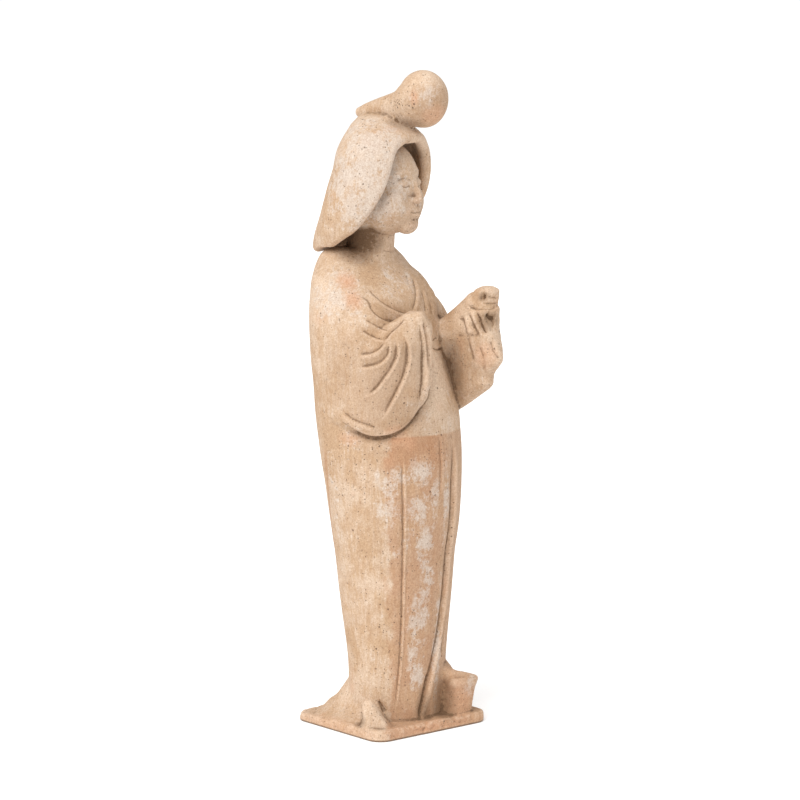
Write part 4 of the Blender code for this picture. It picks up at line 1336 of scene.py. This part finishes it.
def weathering(sizes):
    """A node tree that leaves a hand-pressed, unevenly dried surface on a fine skin of clay."""
    tree = bpy.data.node_groups.new("weathering", "GeometryNodeTree")
    tree.interface.new_socket("Geometry", in_out="INPUT", socket_type="NodeSocketGeometry")
    for name, value in weather_values(sizes).items():
        socket = tree.interface.new_socket(name, in_out="INPUT", socket_type="NodeSocketFloat")
        socket.default_value = value
    tree.interface.new_socket("Material", in_out="INPUT", socket_type="NodeSocketMaterial")
    tree.interface.new_socket("Geometry", in_out="OUTPUT", socket_type="NodeSocketGeometry")
    sheet = Sheet(tree)
    given = tree.nodes.new("NodeGroupInput")
    inputs = {socket.name: Signal(sheet, socket) for socket in given.outputs if socket.name}
    seed = inputs["Seed"]
    place = sheet.node("GeometryNodeInputPosition")
    height = sheet.node("ShaderNodeSeparateXYZ", {}, {"Vector": place}, output="Z")
    off_ground = height.ramp(*OFF_GROUND)
    on_slab = (height - inputs["Slab thickness"]).ramp(*SLAB_END)
    crumbly = sheet.node(
        "GeometryNodeInputNamedAttribute", {"data_type": "FLOAT"}, {"Name": "crumble"})

    lumps = sheet.noise(place, inputs["Lump size"], 2.0, 0.5, seed)
    chips = sheet.noise(place, inputs["Chip size"], 3.0, 0.5, seed + CHIP_SEED)
    crumbs = sheet.noise(place, inputs["Crumb size"], 3.0, 0.5, seed + CRUMB_SEED)
    amount = (lumps - 0.5) * 2.0 * inputs["Unevenness"] * off_ground
    amount = amount - chips.ramp(*CHIP_RANGE) * inputs["Chipping"] * on_slab * off_ground
    crumbled = (crumbs - CRUMB_MIDDLE) * 2.0 * inputs["Crumbling"] * crumbly * off_ground
    amount = amount + crumbled
    normal = sheet.node("GeometryNodeInputNormal")
    offset = sheet.node(
        "ShaderNodeVectorMath", {"operation": "SCALE"}, {0: normal, "Scale": amount})
    moved = sheet.node(
        "GeometryNodeSetPosition", {}, {"Geometry": inputs["Geometry"], "Offset": offset})
    whole = sheet.node("GeometryNodeRealizeInstances", {}, {"Geometry": moved})
    dressed = sheet.node(
        "GeometryNodeSetMaterial", {}, {"Geometry": whole, "Material": inputs["Material"]})
    out = tree.nodes.new("NodeGroupOutput")
    tree.links.new(dressed.socket, out.inputs["Geometry"])
    return tree


def length(name, description, default):
    """A length in the panel, in metres."""
    return FloatProperty(name=name, description=description, default=default, unit="LENGTH")


def angle(name, description, degrees):
    """An angle in the panel."""
    default = math.radians(degrees)
    return FloatProperty(name=name, description=description, default=default, subtype="ANGLE")


def number(name, description, default):
    """A number without a unit in the panel."""
    return FloatProperty(name=name, description=description, default=default)


def count(name, description, default):
    """A whole number in the panel."""
    return IntProperty(name=name, description=description, default=default)


def colour(name, description, default):
    """A colour in the panel, given as its red, green and blue."""
    return FloatVectorProperty(
        name=name, description=description, default=(*default, 1.0), size=4, min=0.0, max=1.0,
        subtype="COLOR")


class CourtLadySizes(bpy.types.PropertyGroup):
    """Sizes of the figure, its slab and its surface"""
    figure_height: length(
        "Figure height", "From the slab's top face to the top of the topknot", 0.3635)
    slab_width: length("Slab width", "Width of the base slab", 0.083)
    slab_depth: length("Slab depth", "Depth of the base slab", 0.076)
    slab_thickness: length("Slab thickness", "Thickness of the base slab", 0.0065)
    slab_corner: length("Slab corner", "Radius of the slab's corners", 0.009)
    grain: number("Grain", "Smallest detail the clay takes, in sculptor's units", 0.72)
    rubs: count("Rubs", "How often each mass is rubbed smooth", 5)
    triangles: count("Triangles", "Most triangles in the finished skin", 190000)
    unevenness: length("Unevenness", "Height of the soft lumps left by hand", 0.00022)
    lump_size: length("Lump size", "Distance from lump to lump", 0.014)
    chipping: length("Chipping", "Depth of the wear on the slab's edges", 0.0009)
    chip_size: length("Chip size", "Size of the worn places", 0.006)
    crumbling: length("Crumbling", "Height of the rough places on hand, toes and topknot", 0.001)
    crumb_size: length("Crumb size", "Size of their crumbs", 0.003)
    seed: count("Seed", "Another number gives another set of lumps and chips", 3)


class CourtLadyColours(bpy.types.PropertyGroup):
    """Colours of the clay, what lies on it and the floor"""
    cream: colour("Cream", "Palest bare clay", (0.60, 0.455, 0.335))
    buff: colour("Buff", "Ordinary bare clay", (0.49, 0.325, 0.20))
    # Tan: darker clay, and also painted shade under the near sleeve, on the face, the topknot and
    # the far sleeve
    tan: colour("Tan", "Darker bare clay", (0.37, 0.225, 0.13))
    flush: colour("Flush", "Warm skirt front", (0.43, 0.235, 0.13))
    blush: colour("Blush", "Orange fire stains", (0.60, 0.33, 0.20))
    # Pale: a cream wash, and also painted fill light on the belly and a painted highlight on the
    # topknot
    pale: colour("Pale", "Cream wash on belly, cuff and shoulder", (0.74, 0.57, 0.42))
    slip: colour("Slip", "Worn pale coating", (0.60, 0.51, 0.435))
    # Worn edge: rubbed ridges, and also a painted highlight on every crest
    worn_and_highlit_edge: colour("Worn edge", "Rubbed ridges", (0.68, 0.50, 0.36))
    # Earth colour: burial dirt, and also painted shade in hollows, grooves and recesses, and a
    # painted contact shadow at the slab's foot
    earth_and_shade: colour("Earth", "Burial earth left in hollows", (0.17, 0.10, 0.055))
    pit: colour("Pit", "Small dark pits", (0.13, 0.08, 0.05))
    floor: colour("Floor", "Studio floor", (0.96, 0.96, 0.96))


class CourtLadyStudio(bpy.types.PropertyGroup):
    """Camera, floor and lights"""
    distance: length("Camera distance", "From the middle of the figure to the camera", 1.7)
    azimuth: angle("Azimuth", "Camera's turn round the figure from its front", -40.126)
    elevation: angle("Elevation", "Camera's angle above the level", 7.954)
    aim_height: length("Aim height", "Height of the point looked at", 0.184643)
    floor_size: length("Floor size", "Side of the floor", 8.0)
    floor_glow: number("Floor glow", "Light the white table gives by itself", 0.15)
    sky: number("Sky", "Brightness of the light from all round", 0.75)
    backdrop: number("Backdrop", "Brightness of the white behind the figure", 1.05)
    lamp: number("Lamp", "Strength of the soft main light", 2.3)
    lamp_spread: angle("Lamp spread", "How wide the main light looks from the figure", 45.0)


class COURTLADY_OT_sculpt(bpy.types.Operator):
    """Model the lady and her slab as one piece of fired clay"""
    bl_idname = "court_lady.sculpt"
    bl_label = "Lady and slab"

    def execute(self, context):
        sizes = context.scene.court_lady_sizes
        unit = sizes.figure_height / UNITS_HIGH
        clay = fired_clay(context.scene.court_lady_colours)
        rough = whole_figure(sizes, unit)
        lift = Matrix.Translation((0.0, 0.0, sizes.slab_thickness))
        rough.transform(lift @ Matrix.Scale(unit, 4))
        rough.calc_loop_triangles()
        mark(rough, ("crumble",), unit, sizes.slab_thickness)
        inputs = {**weather_values(sizes), "Material": clay}
        weather = ("NODES", {"node_group": weathering(sizes), "inputs": inputs})
        thin = ("DECIMATE", {"ratio": min(1.0, sizes.triangles / len(rough.loop_triangles))})
        mesh = evaluated(rough, (weather, thin))
        keep_inside(mesh, CAD_LOW, CAD_HIGH)
        mark_hollows(mesh)
        mark(mesh, SURFACE_MARKS, unit, sizes.slab_thickness)
        mesh.materials.clear()
        mesh.materials.append(clay)
        mesh.polygons.foreach_set("use_smooth", [True] * len(mesh.polygons))
        mesh.name = "court_lady_clay"
        lady = bpy.data.objects.new("court_lady_clay", mesh)
        context.scene.collection.objects.link(lady)
        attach(lady, "root")
        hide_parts("court_lady")
        return {"FINISHED"}


def plain_floor(context, studio):
    """The pale table top, which gives a little light by itself."""
    half = studio.floor_size / 2
    corners = [(-half, -half, 0.0), (half, -half, 0.0), (half, half, 0.0), (-half, half, 0.0)]
    mesh = bpy.data.meshes.new("studio_floor")
    mesh.from_pydata(corners, [], [(0, 1, 2, 3)])
    pale = bpy.data.materials.new("studio floor")
    pale.use_nodes = True
    inputs = pale.node_tree.nodes["Principled BSDF"].inputs
    inputs["Base Color"].default_value = context.scene.court_lady_colours.floor
    inputs["Roughness"].default_value = 1.0
    inputs["Specular IOR Level"].default_value = 0.0
    inputs["Emission Color"].default_value = WHITE
    inputs["Emission Strength"].default_value = studio.floor_glow
    mesh.materials.append(pale)
    floor = bpy.data.objects.new("studio_floor", mesh)
    context.scene.collection.objects.link(floor)


def light_all_round(context, studio):
    """Even white light from all round, in front of a whiter backdrop."""
    sky = bpy.data.worlds.new("studio sky")
    sky.use_nodes = True
    context.scene.world = sky
    light = sky.node_tree.nodes["Background"]
    seen = Sheet(sky.node_tree).node("ShaderNodeLightPath", output="Is Camera Ray")
    strength = seen * (studio.backdrop - studio.sky) + studio.sky
    light.inputs["Color"].default_value = WHITE
    sky.node_tree.links.new(strength.socket, light.inputs["Strength"])


def main_light(context, studio):
    """One broad lamp far off, high to the left of the camera."""
    light = bpy.data.lights.new("studio_lamp", "SUN")
    light.energy = studio.lamp
    light.angle = studio.lamp_spread
    lamp = bpy.data.objects.new("studio_lamp", light)
    lamp.rotation_mode = "QUATERNION"
    lamp.rotation_quaternion = Vector(LAMP_FROM).to_track_quat("Z", "Y")
    context.scene.collection.objects.link(lamp)


def photo_camera(context, studio):
    """The camera at the photograph's angle, framed as the photograph is."""
    azimuth, elevation = studio.azimuth, studio.elevation
    back = Vector((
        math.sin(azimuth) * math.cos(elevation),
        -math.cos(azimuth) * math.cos(elevation),
        math.sin(elevation),
    ))
    lens = bpy.data.cameras.new("photo_camera")
    lens.sensor_width = SENSOR
    lens.lens = PHOTO_FOCAL * SENSOR / PHOTO_SIDE
    lens.shift_x = (PHOTO_SIDE / 2 - PHOTO_CENTRE) / PHOTO_SIDE
    camera = bpy.data.objects.new("photo_camera", lens)
    camera.location = Vector((0.0, 0.0, studio.aim_height)) + back * studio.distance
    camera.rotation_mode = "QUATERNION"
    camera.rotation_quaternion = (-back).to_track_quat("-Z", "Y")
    context.scene.collection.objects.link(camera)
    context.scene.camera = camera


class COURTLADY_OT_studio(bpy.types.Operator):
    """Set the pale floor, the soft light and the camera"""
    bl_idname = "court_lady.studio"
    bl_label = "Studio"

    def execute(self, context):
        for step in (plain_floor, light_all_round, main_light, photo_camera):
            step(context, context.scene.court_lady_studio)
        context.scene.view_settings.view_transform = "Standard"
        return {"FINISHED"}


class COURTLADY_PT_panel(bpy.types.Panel):
    """Sizes, colours and steps of the court lady"""
    bl_label = "Court lady"
    bl_idname = "COURTLADY_PT_panel"
    bl_space_type = "VIEW_3D"
    bl_region_type = "UI"
    bl_category = "Court lady"

    def draw(self, context):
        scene = context.scene
        for group in (scene.court_lady_sizes, scene.court_lady_colours, scene.court_lady_studio):
            box = self.layout.box()
            for key in group.bl_rna.properties.keys():
                if key not in {"rna_type", "name"}:
                    box.prop(group, key)
        for operator in OPERATORS:
            self.layout.operator(operator.bl_idname)


GROUPS = {
    "court_lady_sizes": CourtLadySizes,
    "court_lady_colours": CourtLadyColours,
    "court_lady_studio": CourtLadyStudio,
}
OPERATORS = (COURTLADY_OT_studio, COURTLADY_OT_sculpt)


def register():
    """Add the sizes, colours, steps and the panel to Blender."""
    for name, group in GROUPS.items():
        bpy.utils.register_class(group)
        setattr(bpy.types.Scene, name, PointerProperty(type=group))
    for made in (*OPERATORS, COURTLADY_PT_panel):
        bpy.utils.register_class(made)


def unregister():
    """Take them out again."""
    for made in (COURTLADY_PT_panel, *reversed(OPERATORS)):
        bpy.utils.unregister_class(made)
    for name, group in GROUPS.items():
        delattr(bpy.types.Scene, name)
        bpy.utils.unregister_class(group)


def main():
    """Make the studio and the lady."""
    register()
    bpy.ops.court_lady.studio()
    bpy.ops.court_lady.sculpt()


if __name__ == "__main__":
    main()
